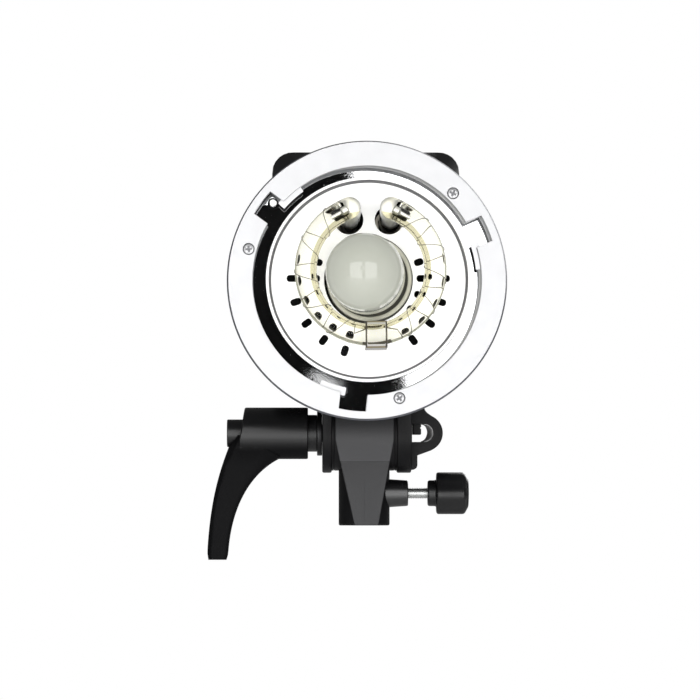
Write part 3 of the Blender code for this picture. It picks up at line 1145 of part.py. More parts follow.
def power_inputs(back):
    """Rocker switch in its frame and the mains inlet with its three pins."""
    wide, high = SWITCH_HALF, SWITCH_HEIGHT / 2
    lip = GAP + FLANGE_THICKNESS
    spot = (SWITCH_ACROSS, -POWER_ROW_DROP, 0)
    floor = -SWITCH_HALF
    frame = piece("switch_frame", block(-wide, wide, -high, high, floor - SWITCH_WALL, lip - EDGE / 4),
                  "black_plastic", back, spot)
    join(frame, block(-wide - FLANGE, wide + FLANGE, -high - FLANGE, high + FLANGE, GAP, lip))
    well_wide, well_high = wide - SWITCH_WALL, high - SWITCH_WALL
    shape(frame, block(-well_wide, well_wide, -well_high, well_high, floor, 2 * lip))
    across, tall = well_wide - GAP, well_high - 3 * RUN
    rise = tall * math.tan(2 * ROCKER_TURN)
    top = lip + rise
    paddle = [(-tall, lip), (0, lip + EDGE), (tall, top + EDGE)]
    paddle += [(tall * 0.8, floor / 2), (0, floor + 2 * GAP), (-tall * 0.8, floor / 2)]
    rocker = moved(extruded([paddle], -across, across), SECTION_TO_X)
    piece("power_switch", rocker, "black_plastic", back, spot)
    wide, high = INLET_HALF, INLET_HEIGHT / 2
    spot = (INLET_ACROSS, -POWER_ROW_DROP, 0)
    low = lip - INLET_DEPTH
    base = low - 2 * INLET_WALL
    shell = block(-wide, wide, -high, high, base, lip - EDGE / 4)
    inlet = piece("mains_inlet", shell, "black_plastic", back, spot)
    join(inlet, block(-wide - FLANGE, wide + FLANGE, -high - FLANGE, high + FLANGE, GAP, lip))
    wide -= INLET_WALL
    high -= INLET_WALL
    cut = high * 0.45
    recess = [(-wide, -high), (wide, -high), (wide, high - cut)]
    recess += [(wide - cut, high), (cut - wide, high), (-wide, high - cut)]
    shape(inlet, extruded([recess], low, 2 * lip))
    pins = []
    for x, y in ((-PIN_PITCH / 2, -PIN_STAGGER), (PIN_PITCH / 2, -PIN_STAGGER), (0, PIN_STAGGER)):
        pins.append(block(x - PIN_WIDTH / 2, x + PIN_WIDTH / 2, y - PIN_WIDTH, y + PIN_WIDTH,
                          low - INLET_WALL, low + INLET_DEPTH * 0.7))
    join(inlet, together(*pins))


for item in list(bpy.data.objects):
    bpy.data.objects.remove(item)

stand_bracket()
stand_clamp()
tilt_pivot = empty("tilt_pivot", None, (0, 0, TILT_HEIGHT))
tilt_yoke(tilt_pivot)
tilt_clamp(tilt_pivot)
light_face = empty("light_face", tilt_pivot, (0, -BEZEL_AHEAD, AXIS_RISE), (math.radians(90), 0, 0))
bezel(light_face)
collar(light_face)
bayonet_lock(light_face)
front_plates(light_face)
flash_tube(light_face)
modelling_lamp(light_face)
covers(light_face)
bulkhead_and_fan(light_face)
electronics(light_face)
control_face = empty("control_face", light_face, (0, 0, PANEL_FACE), (0, math.radians(180), 0))
rear_panel(control_face)
control_board(control_face)
rear_controls(control_face)
power_inputs(control_face)
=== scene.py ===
"""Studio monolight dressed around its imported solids, section by section as it goes together.

Meshes are worked out in millimetres in the part's own frame and made metres when a piece is finished.
"""
import math

import bmesh
import bpy
from mathutils import Matrix, Vector


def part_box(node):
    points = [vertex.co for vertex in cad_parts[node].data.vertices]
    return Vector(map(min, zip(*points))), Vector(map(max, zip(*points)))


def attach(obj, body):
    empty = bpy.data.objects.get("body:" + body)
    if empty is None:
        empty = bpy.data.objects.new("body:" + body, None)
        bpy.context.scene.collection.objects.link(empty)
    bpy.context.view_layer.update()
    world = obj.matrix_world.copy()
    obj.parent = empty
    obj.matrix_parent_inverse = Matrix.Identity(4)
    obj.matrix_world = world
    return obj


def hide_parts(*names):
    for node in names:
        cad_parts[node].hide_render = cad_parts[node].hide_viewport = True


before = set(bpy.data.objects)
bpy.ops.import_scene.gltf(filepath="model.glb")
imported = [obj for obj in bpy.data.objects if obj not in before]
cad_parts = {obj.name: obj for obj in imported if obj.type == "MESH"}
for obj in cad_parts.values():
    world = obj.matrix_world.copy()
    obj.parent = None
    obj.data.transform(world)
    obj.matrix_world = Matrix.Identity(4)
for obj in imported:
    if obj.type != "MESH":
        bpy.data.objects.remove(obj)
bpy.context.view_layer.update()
scene = bpy.context.scene
scene.view_settings.view_transform = "Standard"
MM = 0.001


# Camera, straight on and a little below the light, from about 1.8 m.
# It is aimed from the bezel's centre, which sits right of and above the picture's middle.
def placed(name, data):
    """An object in the scene that shows the given data."""
    item = bpy.data.objects.new(name, data)
    scene.collection.objects.link(item)
    return item


bezel_low, bezel_high = (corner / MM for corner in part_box("bayonet_bezel"))
FRONT = bezel_low.y
AXIS = (bezel_low.z + bezel_high.z) / 2
VIEW_DISTANCE = 1800
VIEW_RISE, VIEW_TURN = math.radians(2.5), math.radians(0.55)
PICTURE_WIDTH, PIXEL = 700, 0.4328
BEZEL_RIGHT, BEZEL_UP = 17.1, 70.0
ahead = Vector((math.sin(VIEW_TURN), math.cos(VIEW_TURN), math.tan(VIEW_RISE))).normalized()
right = ahead.cross((0, 0, 1)).normalized()
up = right.cross(ahead)
bezel_centre = Vector((0, FRONT, AXIS))
lens = bpy.data.cameras.new("camera")
lens.sensor_width = 36
lens.lens = lens.sensor_width * VIEW_DISTANCE / (PICTURE_WIDTH * PIXEL)
camera = placed("camera", lens)
camera.location = (bezel_centre - VIEW_DISTANCE * ahead - PIXEL * (BEZEL_RIGHT * right + BEZEL_UP * up)) * MM
camera.rotation_euler = ahead.to_track_quat("-Z", "Y").to_euler()
scene.camera = camera


# Stage: a white sweep of light all round, a pale floor well below the light, and soft lamps.
# The sky shows white to the eye and through glass, is dim in glossy surfaces and lights the rest gently.
def maths(operation, swapped=False):
    """A method that puts two values through a Math node."""
    def method(wire, other):
        pair = (other, wire) if swapped else (wire, other)
        return wire.shading.node("Math", {"operation": operation}, dict(enumerate(pair)))
    return method


class Wire:
    """A shader socket; arithmetic on it adds Math nodes to its tree."""

    def __init__(self, shading, socket):
        self.shading = shading
        self.socket = socket

    __add__ = __radd__ = maths("ADD")
    __mul__ = __rmul__ = maths("MULTIPLY")
    __sub__ = maths("SUBTRACT")
    __rsub__ = maths("SUBTRACT", swapped=True)
    __pow__ = maths("POWER")
    above = maths("GREATER_THAN")
    most = maths("MAXIMUM")


class Shading:
    """The node tree of one finish, or of the sky."""

    def __init__(self, name, store=bpy.data.materials):
        self.owner = store.new(name)
        self.owner.use_nodes = True
        self.tree = self.owner.node_tree
        self.tree.nodes.clear()

    def node(self, kind, settings=None, sockets=None, output=0):
        made = self.tree.nodes.new("ShaderNode" + kind)
        for key, value in (settings or {}).items():
            setattr(made, key, value)
        for key, value in (sockets or {}).items():
            if isinstance(value, Wire):
                self.tree.links.new(value.socket, made.inputs[key])
            else:
                made.inputs[key].default_value = value
        return Wire(self, made.outputs[output]) if made.outputs else None

    def mix(self, amount, *colours):
        """A colour between two, each another node's or three plain numbers."""
        first, second = (item if isinstance(item, Wire) else (*item, 1) for item in colours)
        settings = {"data_type": "RGBA", "clamp_factor": True}
        return self.node("Mix", settings, {0: amount, 6: first, 7: second}, 2)

    def noise(self, size, detail=2):
        """Noise whose blotches are about the given size in millimetres, from 0 to 1."""
        sockets = {"Vector": self.node("TexCoord", output=3), "Scale": 1 / (size * MM), "Detail": detail}
        return self.node("TexNoise", {}, sockets)

    def along(self, axis, start=0):
        """How far a point lies along an axis, in metres from a start in millimetres."""
        place = self.node("SeparateXYZ", {}, {0: self.node("TexCoord", output=3)}, "XYZ".index(axis))
        return place - start * MM if start else place

    def radius(self, across=0, rise=0):
        """How far a point lies from the light's axis, or from a line beside it."""
        aside, over = self.along("X", across), self.along("Z", AXIS + rise)
        return (aside * aside + over * over) ** 0.5

    def facing(self, axis):
        """How squarely the surface looks along an axis, from -1 to 1."""
        return self.node("SeparateXYZ", {}, {0: self.node("TexCoord", output=1)}, "XYZ".index(axis))

    def slope(self, value, low, high, kind="LINEAR"):
        """A value that goes from 0 to 1 between two lengths in millimetres."""
        sockets = {0: value, 1: low * MM, 2: high * MM, 3: 0.0, 4: 1.0}
        return self.node("MapRange", {"interpolation_type": kind}, sockets)

    def bump(self, height, strength, depth):
        return self.node("Bump", {}, {"Strength": strength, "Distance": depth * MM, "Height": height})

    def shader(self, colour, roughness, **others):
        """A surface; its other sockets are named with underscores for spaces."""
        sockets = {name.replace("_", " "): value for name, value in others.items()}
        base = colour if isinstance(colour, Wire) else (*colour, 1)
        return self.node("BsdfPrincipled", {}, {"Base Color": base, "Roughness": roughness, **sockets})

    def finish(self, surface):
        self.node("OutputMaterial", {}, {"Surface": surface})
        return self.owner


SKY, SKY_GLOSS, SKY_FILL = 1.0, 0.14, 0.24
sky = Shading("sky", bpy.data.worlds)
scene.world = sky.owner
seen, mirrored, through = (sky.node("LightPath", output=ray) for ray in (0, 3, 6))
straight = seen.most(through)
strength = straight * SKY + (1 - straight) * (mirrored * (SKY_GLOSS - SKY_FILL) + SKY_FILL)
white_sky = sky.node("Background", {}, {"Color": (1, 1, 1, 1), "Strength": strength})
sky.node("OutputWorld", {}, {"Surface": white_sky})


def staged(name, bm, material):
    """A thing round the object that is lit or mirrored and isn't seen itself."""
    mesh = bpy.data.meshes.new(name)
    bm.to_mesh(mesh)
    mesh.materials.append(material)
    item = placed(name, mesh)
    item.visible_camera = False
    return item


FLOOR_DROP, FLOOR_REACH = 500, 3000
pale_ground = bmesh.new()
bmesh.ops.create_circle(pale_ground, cap_ends=True, segments=96, radius=FLOOR_REACH * MM)
bmesh.ops.translate(pale_ground, verts=pale_ground.verts, vec=(0, 0, -FLOOR_DROP * MM))
look = Shading("pale_floor")
paint = look.mix(look.noise(40), (0.86, 0.86, 0.86), (0.9, 0.9, 0.9))
staged("floor", pale_ground, look.finish(look.shader(paint, 0.8)))


def lamp(name, place, aim, width, height, power):
    """A soft box of light at a place, aimed at a point, in millimetres."""
    data = bpy.data.lights.new(name, "AREA")
    data.shape = "RECTANGLE"
    data.size = width * MM
    data.size_y = height * MM
    data.energy = power
    item = placed(name, data)
    item.location = Vector(place) * MM
    item.rotation_euler = (Vector(aim) - Vector(place)).to_track_quat("-Z", "Y").to_euler()
    item.visible_camera = False


BOX_AWAY, BOX_RIGHT, BOX_DROP = 1200, 100, 150
BOX_WIDE, BOX_TALL, BOX_GAP = 990, 1330, 85
BOX_POWER = 13.7
for name, side in (("left_box", -1), ("right_box", 1)):
    spot = Vector((BOX_RIGHT + side * (BOX_GAP + BOX_WIDE / 2), FRONT - BOX_AWAY, AXIS - BOX_DROP))
    lamp(name, spot, spot + Vector((0, 1, 0)), BOX_WIDE, BOX_TALL, BOX_POWER)
lamp("rear_box", (700, FRONT + 1900, AXIS + 600), (0, 0, AXIS), 1000, 1000, 9)
lamp("floor_bounce", (0, -500, AXIS - 700), (0, 0, 40), 1600, 1100, 2)


# Cards that only glossy surfaces mirror: a dark flag and two white cards in front of the boxes. Their edges
# are the lines where the bayonet plate turns from black to white.
def card(name, away, outline, brightness):
    bm = bmesh.new()
    bm.faces.new([bm.verts.new((x * MM, (FRONT - away) * MM, (AXIS + z) * MM)) for x, z in outline])
    look = Shading(name)
    glow = look.node("Emission", {}, {"Color": (1, 1, 1, 1), "Strength": brightness})
    item = staged(name, bm, look.finish(glow))
    item.visible_diffuse = item.visible_shadow = item.visible_transmission = False


card("dark_flag", 1150, [(-1.5, 180), (55, -40), (-95, -40), (-95, 180)], 0.004)
card("white_card", 1160, [(-1.5, 180), (55, -40), (130, -40), (130, 180)], 2.5)
card("small_card", 1140, [(-22, 5), (-3, -4.5), (-5.5, -9.5), (-24.5, -0.5)], 1.0)


# Stand bracket: a black moulding of glass-filled nylon. A drum that the head tilts on, a stem with the stand
# socket and a boss for the clamp screw, with a keystone shield of textured charcoal nylon down its front.
def at(across, along, height=0):
    return Matrix.Translation((across, along, height))


def turned(degrees, axis="Z"):
    return Matrix.Rotation(math.radians(degrees), 4, axis)


def moved(bm, place):
    bmesh.ops.transform(bm, matrix=place, verts=bm.verts)
    return bm


def softened(points, radius, steps=4, closed=False):
    """A polyline with its corners rounded."""
    points = [Vector(point) for point in points]
    count = len(points)
    result = []
    for i, corner in enumerate(points):
        if not closed and i in (0, count - 1):
            result.append(corner)
            continue
        before, after = points[i - 1] - corner, points[(i + 1) % count] - corner
        reach = min(radius, before.length / 2, after.length / 2)
        start, end = corner + before.normalized() * reach, corner + after.normalized() * reach
        for k in range(steps + 1):
            t = k / steps
            result.append(start * (1 - t) ** 2 + corner * (2 * t * (1 - t)) + end * t * t)
    return result


def arc(across, rise, radius, start, end, steps):
    angles = [math.radians(start + (end - start) * i / steps) for i in range(steps + 1)]
    return [(across + radius * math.cos(a), rise + radius * math.sin(a)) for a in angles]


def spun(outline, steps=96, place=Matrix()):
    """A (radius, height) outline turned about Z, as on a lathe."""
    bm = bmesh.new()
    verts = [bm.verts.new((radius, 0, height)) for radius, height in outline]
    edges = [bm.edges.new(pair) for pair in zip(verts, verts[1:])]
    bmesh.ops.spin(bm, geom=verts + edges, axis=(0, 0, 1), angle=math.tau, steps=steps, use_merge=True)
    bmesh.ops.remove_doubles(bm, verts=bm.verts, dist=1e-4)
    moved(bm, place)
    bmesh.ops.recalc_face_normals(bm, faces=bm.faces)
    return bm


def peg(radius, low, high, steps=96, place=Matrix()):
    """A plain round plug that drills a hole."""
    return spun([(0, low), (radius, low), (radius, high), (0, high)], steps, place)


def rim_bevel(bm, edges, width, segments=3):
    bmesh.ops.bevel(bm, geom=edges, offset=width, offset_type="OFFSET", segments=segments, profile=0.5,
                    affect="EDGES", clamp_overlap=True, material=-1)


def slab(outline, low, high, edge=0, place=Matrix(), segments=3):
    """A flat outline made solid between two heights, with rounded rims."""
    bm = bmesh.new()
    face = bm.faces.new([bm.verts.new((x, y, low)) for x, y in outline])
    grown = bmesh.ops.extrude_face_region(bm, geom=[face])["geom"]
    lifted = [item for item in grown if isinstance(item, bmesh.types.BMVert)]
    bmesh.ops.translate(bm, verts=lifted, vec=(0, 0, high - low))
    bmesh.ops.recalc_face_normals(bm, faces=bm.faces)
    if edge:
        rims = [item for item in bm.edges if abs(item.verts[0].co.z - item.verts[1].co.z) < 1e-6]
        rim_bevel(bm, rims, edge, segments)
    moved(bm, place)
    bmesh.ops.recalc_face_normals(bm, faces=bm.faces)
    return bm


def oblong(left, right, low, high, radius, steps=5):
    return softened([(right, low), (right, high), (left, high), (left, low)], radius, steps, closed=True)


def carve(bm, tool, operation="DIFFERENCE"):
    """One closed mesh cut by, or joined with, another."""
    blanks = []
    for shape in (bm, tool):
        mesh = bpy.data.meshes.new("blank")
        shape.to_mesh(mesh)
        shape.free()
        blanks.append(placed("blank", mesh))
    cut = blanks[0].modifiers.new("carve", "BOOLEAN")
    cut.operation = operation
    cut.object = blanks[1]
    depsgraph = bpy.context.evaluated_depsgraph_get()
    result = bmesh.new()
    result.from_mesh(bpy.data.meshes.new_from_object(blanks[0].evaluated_get(depsgraph)))
    for blank in blanks:
        bpy.data.objects.remove(blank)
    return result


def fuse(bm, *others):
    for other in others:
        bm = carve(bm, other, "UNION")
    return bm


FLAT_TURN, SLIVER = 4, 0.03


def make(name, bm, material, body, slot, *nodes, crease=32, place=Matrix()):
    """A finished piece on its body, standing for the named solids."""
    moved(bm, place)
    bmesh.ops.remove_doubles(bm, verts=bm.verts, dist=1e-4)
    bmesh.ops.scale(bm, vec=(MM, MM, MM), verts=bm.verts)
    bm.normal_update()
    for face in bm.faces:
        face.smooth = True
    for edge in bm.edges:
        turn = math.degrees(edge.calc_face_angle(math.pi))
        areas = sorted(face.calc_area() for face in edge.link_faces)
        edge.smooth = turn < crease and (turn < FLAT_TURN or areas[0] > SLIVER * areas[-1])
    mesh = bpy.data.meshes.new(name)
    bm.to_mesh(mesh)
    bm.free()
    mesh.materials.append(material)
    piece = placed(name, mesh)
    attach(piece, body)
    if nodes:
        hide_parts(*nodes)


def moulded(name, dark, light, roughness, grain, depth, shine=0.2):
    """Spark-textured plastic: a fine pebble grain, faint cloudiness and scuffed roughness."""
    look = Shading(name)
    pebble, cloud = look.noise(grain, 3), look.noise(14, 4)
    colour = look.mix(cloud * 0.7 + pebble * 0.3, dark, light)
    rough = roughness - 0.08 + cloud * 0.1 + pebble * 0.08
    bump = look.bump(pebble, 0.35, depth)
    return look.finish(look.shader(colour, rough, Normal=bump, Specular_IOR_Level=shine))


washer_low, washer_high = (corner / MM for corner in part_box("lever_washer"))
TILT_HEIGHT = (washer_low.z + washer_high.z) / 2
CLAMP_HEIGHT = 14.7
SECTION_TO_X = Matrix(((0, 0, 1, 0), (1, 0, 0, 0), (0, 1, 0, 0), (0, 0, 0, 1)))
TILT = at(0, 0, TILT_HEIGHT)
TILT_AXIS = TILT @ turned(90, "Y")
CLAMP = at(0, 0, CLAMP_HEIGHT) @ turned(90, "Y")
UPRIGHT = turned(90, "X")
STEM_RADIUS, SOCKET_RADIUS, SOCKET_DEPTH = 11.6, 8.2, 29
DRUM_RADIUS, DRUM_HALF = 17, 13.9
SHIELD_PROUD, SHIELD_HEAD, SHIELD_FOOT, SHIELD_SHIFT, SHIELD_WRAP = 0.9, 13.2, 5.4, 0.9, 60
SHIELD_TOP = TILT_HEIGHT - 3.5
BOSS_ROOT, BOSS_NOSE, BOSS_TIP = 6.6, 5.8, 20
STUD_HOLE, SCREW_HOLE = 4.4, 2.9
NYLON_BLACK = (0.003, 0.003, 0.0034)


def drilled(bm):
    """The shape with the stand socket, the stud's hole and the clamp screw's way cut in it."""
    bm = carve(bm, peg(SOCKET_RADIUS, -5, SOCKET_DEPTH))
    bm = carve(bm, peg(STUD_HOLE, -20, 20, 48, TILT_AXIS))
    return carve(bm, peg(SCREW_HOLE, 0, 30, 32, CLAMP))


boss_side = [(0, SOCKET_RADIUS), (BOSS_ROOT, SOCKET_RADIUS), (BOSS_NOSE, BOSS_TIP), (0, BOSS_TIP)]
boss = carve(spun(softened(boss_side, 0.6), 64, CLAMP), peg(SCREW_HOLE, 0, 30, 32, CLAMP))
boss_nylon = moulded("boss_nylon", NYLON_BLACK, (0.006, 0.006, 0.0065), 0.28, 0.3, 0.02, 0.9)
make("clamp_boss", boss, boss_nylon, "bracket", "charcoal_plastic", "stand_bracket", crease=28)
stem = spun(softened([(0, 0), (STEM_RADIUS, 0), (STEM_RADIUS, TILT_HEIGHT), (0, TILT_HEIGHT)], 0.9))
drum_side = [(0, -DRUM_HALF), (DRUM_RADIUS, -DRUM_HALF), (DRUM_RADIUS, DRUM_HALF), (0, DRUM_HALF)]
bracket = drilled(fuse(stem, spun(softened(drum_side, 0.7), 128, TILT_AXIS)))
black = moulded("black_nylon", NYLON_BLACK, (0.007, 0.007, 0.0075), 0.42, 0.3, 0.05, 0.15)
make("bracket_moulding", bracket, black, "bracket", "charcoal_plastic", "stand_bracket", crease=28)

shield_radius, shield_front = DRUM_RADIUS + SHIELD_PROUD, STEM_RADIUS + SHIELD_PROUD
crease_turn = math.degrees(math.acos(shield_front / shield_radius))
head_turn = math.degrees(math.asin((TILT_HEIGHT - SHIELD_TOP) / shield_radius))
shield_side = [(0, 0), (-shield_front, 0)]
shield_side += arc(0, TILT_HEIGHT, shield_radius, 180 + crease_turn, 180 + head_turn, 14)
shield_side += arc(0, TILT_HEIGHT, shield_radius, 180 + head_turn, 180 - SHIELD_WRAP, 20)[1:]
shield = slab(shield_side + [(0, SHIELD_TOP)], -1, 1, 0, SECTION_TO_X)
for end in (-1, 1):
    fold = [vert for vert in shield.verts if vert.co.x == end and abs(vert.co.z - SHIELD_TOP) < 0.01]
    bmesh.ops.connect_verts(shield, verts=fold)
for vert in shield.verts:
    climb = min(1, vert.co.z / SHIELD_TOP)
    vert.co.x *= SHIELD_FOOT + (SHIELD_HEAD - SHIELD_FOOT) * climb
    vert.co.x += SHIELD_SHIFT * (1 - climb)
shield.normal_update()
creases = [item for item in shield.edges if item.calc_face_angle(0) > 0.6]
rim_bevel(shield, [item for item in creases if max(vert.co.y for vert in item.verts) < -8], 0.45)
mould_line = slab(oblong(-0.16, 0.16, 2, 21, 0.1), shield_front - 1, shield_front + 0.1, 0.04, UPRIGHT)
look = Shading("shield_nylon")
# Painted highlight: above the fold, where the shield wraps the drum, a lighter copy of the charcoal is
# painted in. It fades towards the top and stands in for light from below on the face that turns down.
height = look.along("Z")
fold_height = TILT_HEIGHT - math.sqrt(shield_radius ** 2 - shield_front ** 2)
fade = look.slope(height, fold_height, TILT_HEIGHT)
painted_sheen_mask = (1 - fade * 0.9) * height.above(fold_height * MM)
spark, drift = look.noise(0.35, 3), look.noise(14, 4)
mottle = drift * 0.7 + spark * 0.3
charcoal_base = look.mix(mottle, (0.019, 0.019, 0.0205), (0.024, 0.024, 0.026))
painted_lit_band = look.mix(mottle, (0.07, 0.07, 0.073), (0.08, 0.08, 0.083))
shield_nylon = look.finish(look.shader(look.mix(painted_sheen_mask, charcoal_base, painted_lit_band), 0.45 + drift * 0.1,
                                       Normal=look.bump(spark, 0.35, 0.06), Specular_IOR_Level=0.4))
shield = drilled(fuse(shield, mould_line))
make("shield_moulding", shield, shield_nylon, "bracket", "charcoal_plastic", "stand_bracket", crease=28)


# Clamp screw: zinc-plated steel with a rolled thread, which runs in the boss and bears into the socket.
# Its black knob is moulded on the end, with shallow finger hollows and a matt skin.
def plated(name, base, roughness, streak):
    """Bare or plated metal with faint draw marks and handling blotches."""
    look = Shading(name)
    mark, blotch = look.noise(streak, 4), look.noise(9, 3)
    colour = look.mix(blotch, tuple(value * 0.82 for value in base), base)
    rough = roughness - 0.06 + mark * 0.12 + blotch * 0.05
    return look.finish(look.shader(colour, rough, Normal=look.bump(mark, 0.12, 0.02), Metallic=1.0))


SCREW_CREST, SCREW_ROOT, SCREW_PITCH = 2.5, 2.12, 0.8
SCREW_START, SCREW_TURNS, THREAD_STEPS = 8.5, 38, 24
zinc = plated("zinc_steel", (0.78, 0.79, 0.78), 0.3, 1.5)
thread = bmesh.new()
flank = [(SCREW_ROOT, 0.08), (SCREW_CREST, 0.36), (SCREW_CREST, 0.44), (SCREW_ROOT, 0.72), (SCREW_ROOT, 0.88)]
flank_verts = [thread.verts.new((radius, 0, SCREW_START + height)) for radius, height in flank]
flank_edges = [thread.edges.new(pair) for pair in zip(flank_verts, flank_verts[1:])]
bmesh.ops.spin(thread, geom=flank_verts + flank_edges, axis=(0, 0, 1), angle=math.tau * SCREW_TURNS,
               dvec=(0, 0, SCREW_PITCH / THREAD_STEPS), steps=THREAD_STEPS * SCREW_TURNS)
bmesh.ops.remove_doubles(thread, verts=thread.verts, dist=0.01)


def plugged(bm):
    """The shape with its open ends closed and its faces turned outwards."""
    bmesh.ops.holes_fill(bm, edges=[item for item in bm.edges if item.is_boundary])
    bmesh.ops.recalc_face_normals(bm, faces=bm.faces)
    return bm


make("clamp_thread", plugged(moved(thread, CLAMP)), zinc, "stand_screw", "steel", "clamp_screw", crease=50)


def fluted(bm, count, depth, phase, picked):
    """A turned shape with shallow hollows round the points that are picked."""
    for vert in bm.verts:
        if picked(vert.co):
            turn = math.atan2(vert.co.y, vert.co.x) - phase
            vert.co.xy *= 1 - depth * (1 - math.cos(count * turn)) / 2 / vert.co.xy.length
    return bm


KNOB_START, KNOB_NECK, KNOB_END = 28.9, 32.9, 47.8
KNOB_BORE, KNOB_SHANK, KNOB_RADIUS = SCREW_CREST + 0.3, 5.9, 10.0
KNOB_LOBES, KNOB_HOLLOW, KNOB_PHASE = 6, 0.7, math.radians(36)
satin = moulded("satin_nylon", NYLON_BLACK, (0.006, 0.006, 0.0065), 0.32, 0.3, 0.02, 0.45)
knob_side = [(0, KNOB_NECK + 7), (KNOB_BORE, KNOB_NECK + 7), (KNOB_BORE, KNOB_START)]
knob_side += [(KNOB_SHANK, KNOB_START), (KNOB_SHANK, KNOB_NECK), (KNOB_RADIUS, KNOB_NECK)]
knob_side += [(KNOB_RADIUS, KNOB_END - 2.2), (6.4, KNOB_END - 0.3), (0, KNOB_END)]
knob = fluted(spun(softened(knob_side, 1.1), 144), KNOB_LOBES, KNOB_HOLLOW, KNOB_PHASE,
              lambda spot: spot.xy.length > 6.5)
make("clamp_knob_moulding", knob, satin, "stand_knob", "black_plastic", "clamp_knob", crease=50, place=CLAMP)

# Tilt yoke: black nylon, screwed up under the housing. Two cheeks straddle the drum, and an ear
# on the right takes an umbrella shaft, held by a small sprung jaw in the ear's root.
LEFT_FACE, CHEEK_INNER, RIGHT_FACE, CHEEK_RADIUS = 19.1, 14.8, 21.4, 18
SADDLE_UNDER, SADDLE_OVER, SADDLE_HALF = 18.3, 20.7, 28
EAR_BASE, EAR_MIDDLE, EAR_RADIUS, EAR_HOLE = 24.15, 27.3, 8.4, 4.1
EAR_FRONT, EAR_BACK, EAR_ROOT = 7, 9, RIGHT_FACE - 1.75
HOLE_LEAN = 0.14
STUD_END = 18.9
web = (SADDLE_UNDER + SADDLE_OVER) / 2
cheek = arc(0, 0, CHEEK_RADIUS, 180, 360, 40) + [(CHEEK_RADIUS, web), (-CHEEK_RADIUS, web)]
left_cheek = slab(cheek, -LEFT_FACE, -CHEEK_INNER, 0.7, TILT @ SECTION_TO_X)
right_cheek = slab(cheek, CHEEK_INNER, RIGHT_FACE, 0.7, TILT @ SECTION_TO_X)
saddle = oblong(-LEFT_FACE, EAR_BASE, -SADDLE_HALF, SADDLE_HALF, 3)
saddle = slab(saddle, SADDLE_UNDER, SADDLE_OVER, 0.5, TILT)
ear_foot, ear_waist = -math.sqrt(CHEEK_RADIUS ** 2 - EAR_FRONT ** 2), (EAR_BASE, -EAR_RADIUS * 1.2)
ear = softened([(EAR_ROOT, ear_foot), (EAR_BASE, ear_foot), ear_waist], 2.2)[:-1] + [ear_waist]
ear += arc(EAR_MIDDLE, 0, EAR_RADIUS, -72, 65, 30)
ear += softened([(EAR_MIDDLE + 1.4, 9.1), (EAR_MIDDLE + 0.2, 10.4), (EAR_MIDDLE, 12), (EAR_MIDDLE, web)], 1.4)
ear_body = slab(ear + [(EAR_ROOT, web)], -EAR_BACK, EAR_FRONT, 0.9, TILT @ UPRIGHT)
yoke = fuse(left_cheek, right_cheek, saddle, ear_body)


def inclined(bm):
    """The shape leaned over with depth, more towards the ear's outer side."""
    for vert in bm.verts:
        lean = HOLE_LEAN * (vert.co.z - EAR_FRONT) * min(1, max(0, vert.co.x - RIGHT_FACE - 1.5) / 8)
        vert.co.x += lean
        vert.co.y -= lean * 0.3
    return moved(bm, TILT @ UPRIGHT)


shaft_hole = [(RIGHT_FACE + 0.3, EAR_HOLE), (RIGHT_FACE + 0.3, -EAR_HOLE)]
shaft_hole += arc(EAR_MIDDLE, 0, EAR_HOLE, -90, 90, 24)
yoke = carve(yoke, inclined(slab(shaft_hole, -20, 20)))
yoke = carve(yoke, peg(STUD_HOLE, -30, STUD_END, 48, TILT_AXIS))
yoke = carve(yoke, peg(7.7, 0, STUD_END, 6, TILT_AXIS))
JAW_LEFT, JAW_RIGHT, JAW_HALF, JAW_FOOT, JAW_TOP = 22.0, 25.9, 4.85, -0.6, 11.0
JAW_TRAVEL, JAW_ROOM = 4.5, 0.3
pocket = oblong(JAW_LEFT - JAW_ROOM, JAW_RIGHT + JAW_ROOM, -JAW_HALF - JAW_ROOM, JAW_HALF + JAW_ROOM, 0.1, 1)
yoke = carve(yoke, slab(pocket, 0, JAW_TOP + JAW_TRAVEL + 0.6, 0, TILT))
make("yoke_moulding", yoke, black, "head", "black_plastic", "tilt_yoke", crease=28)
lining = arc(EAR_MIDDLE, 0, EAR_HOLE - 0.02, -90, 90, 24) + arc(EAR_MIDDLE, 0, EAR_HOLE - 0.3, 90, -90, 24)
# Painted light: the lining of the umbrella hole is light grey, standing in for light caught by the hole's
# inner wall.
painted_lit_lining = moulded("painted_lit_sleeve", (0.42, 0.42, 0.42), (0.5, 0.5, 0.5), 0.5, 0.4, 0.03, 0.4)
lining = inclined(slab(lining, 0.6 - EAR_BACK, EAR_FRONT - 0.6))
make("shaft_sleeve", lining, painted_lit_lining, "head", "black_plastic")
jaw = slab(oblong(JAW_LEFT, JAW_RIGHT, -JAW_HALF, JAW_HALF, 0.5), JAW_FOOT, JAW_TOP, 0.3, TILT)
for groove in range(4):
    notch = oblong(JAW_RIGHT - 0.4, JAW_RIGHT + 1, 2 + 2 * groove, 2.8 + 2 * groove, 0.15, 2)
    jaw = carve(jaw, slab(notch, -10, 10, 0, TILT @ UPRIGHT))
make("jaw_block", jaw, black, "jaw", "black_plastic", "umbrella_jaw")


# Tilt clamp: a stud through the drum with a nut, two thin friction washers, a dull thrust washer,
# and a spring-loaded ratchet lever that is pulled out to swing it clear. Local Z runs out to the left.
def hoop(outline, radius, corner_steps, steps, place=Matrix()):
    """A closed outline with its corners rounded, turned into a ring."""
    line = softened(outline, radius, corner_steps, closed=True)
    return spun(line + line[:1], steps, place)


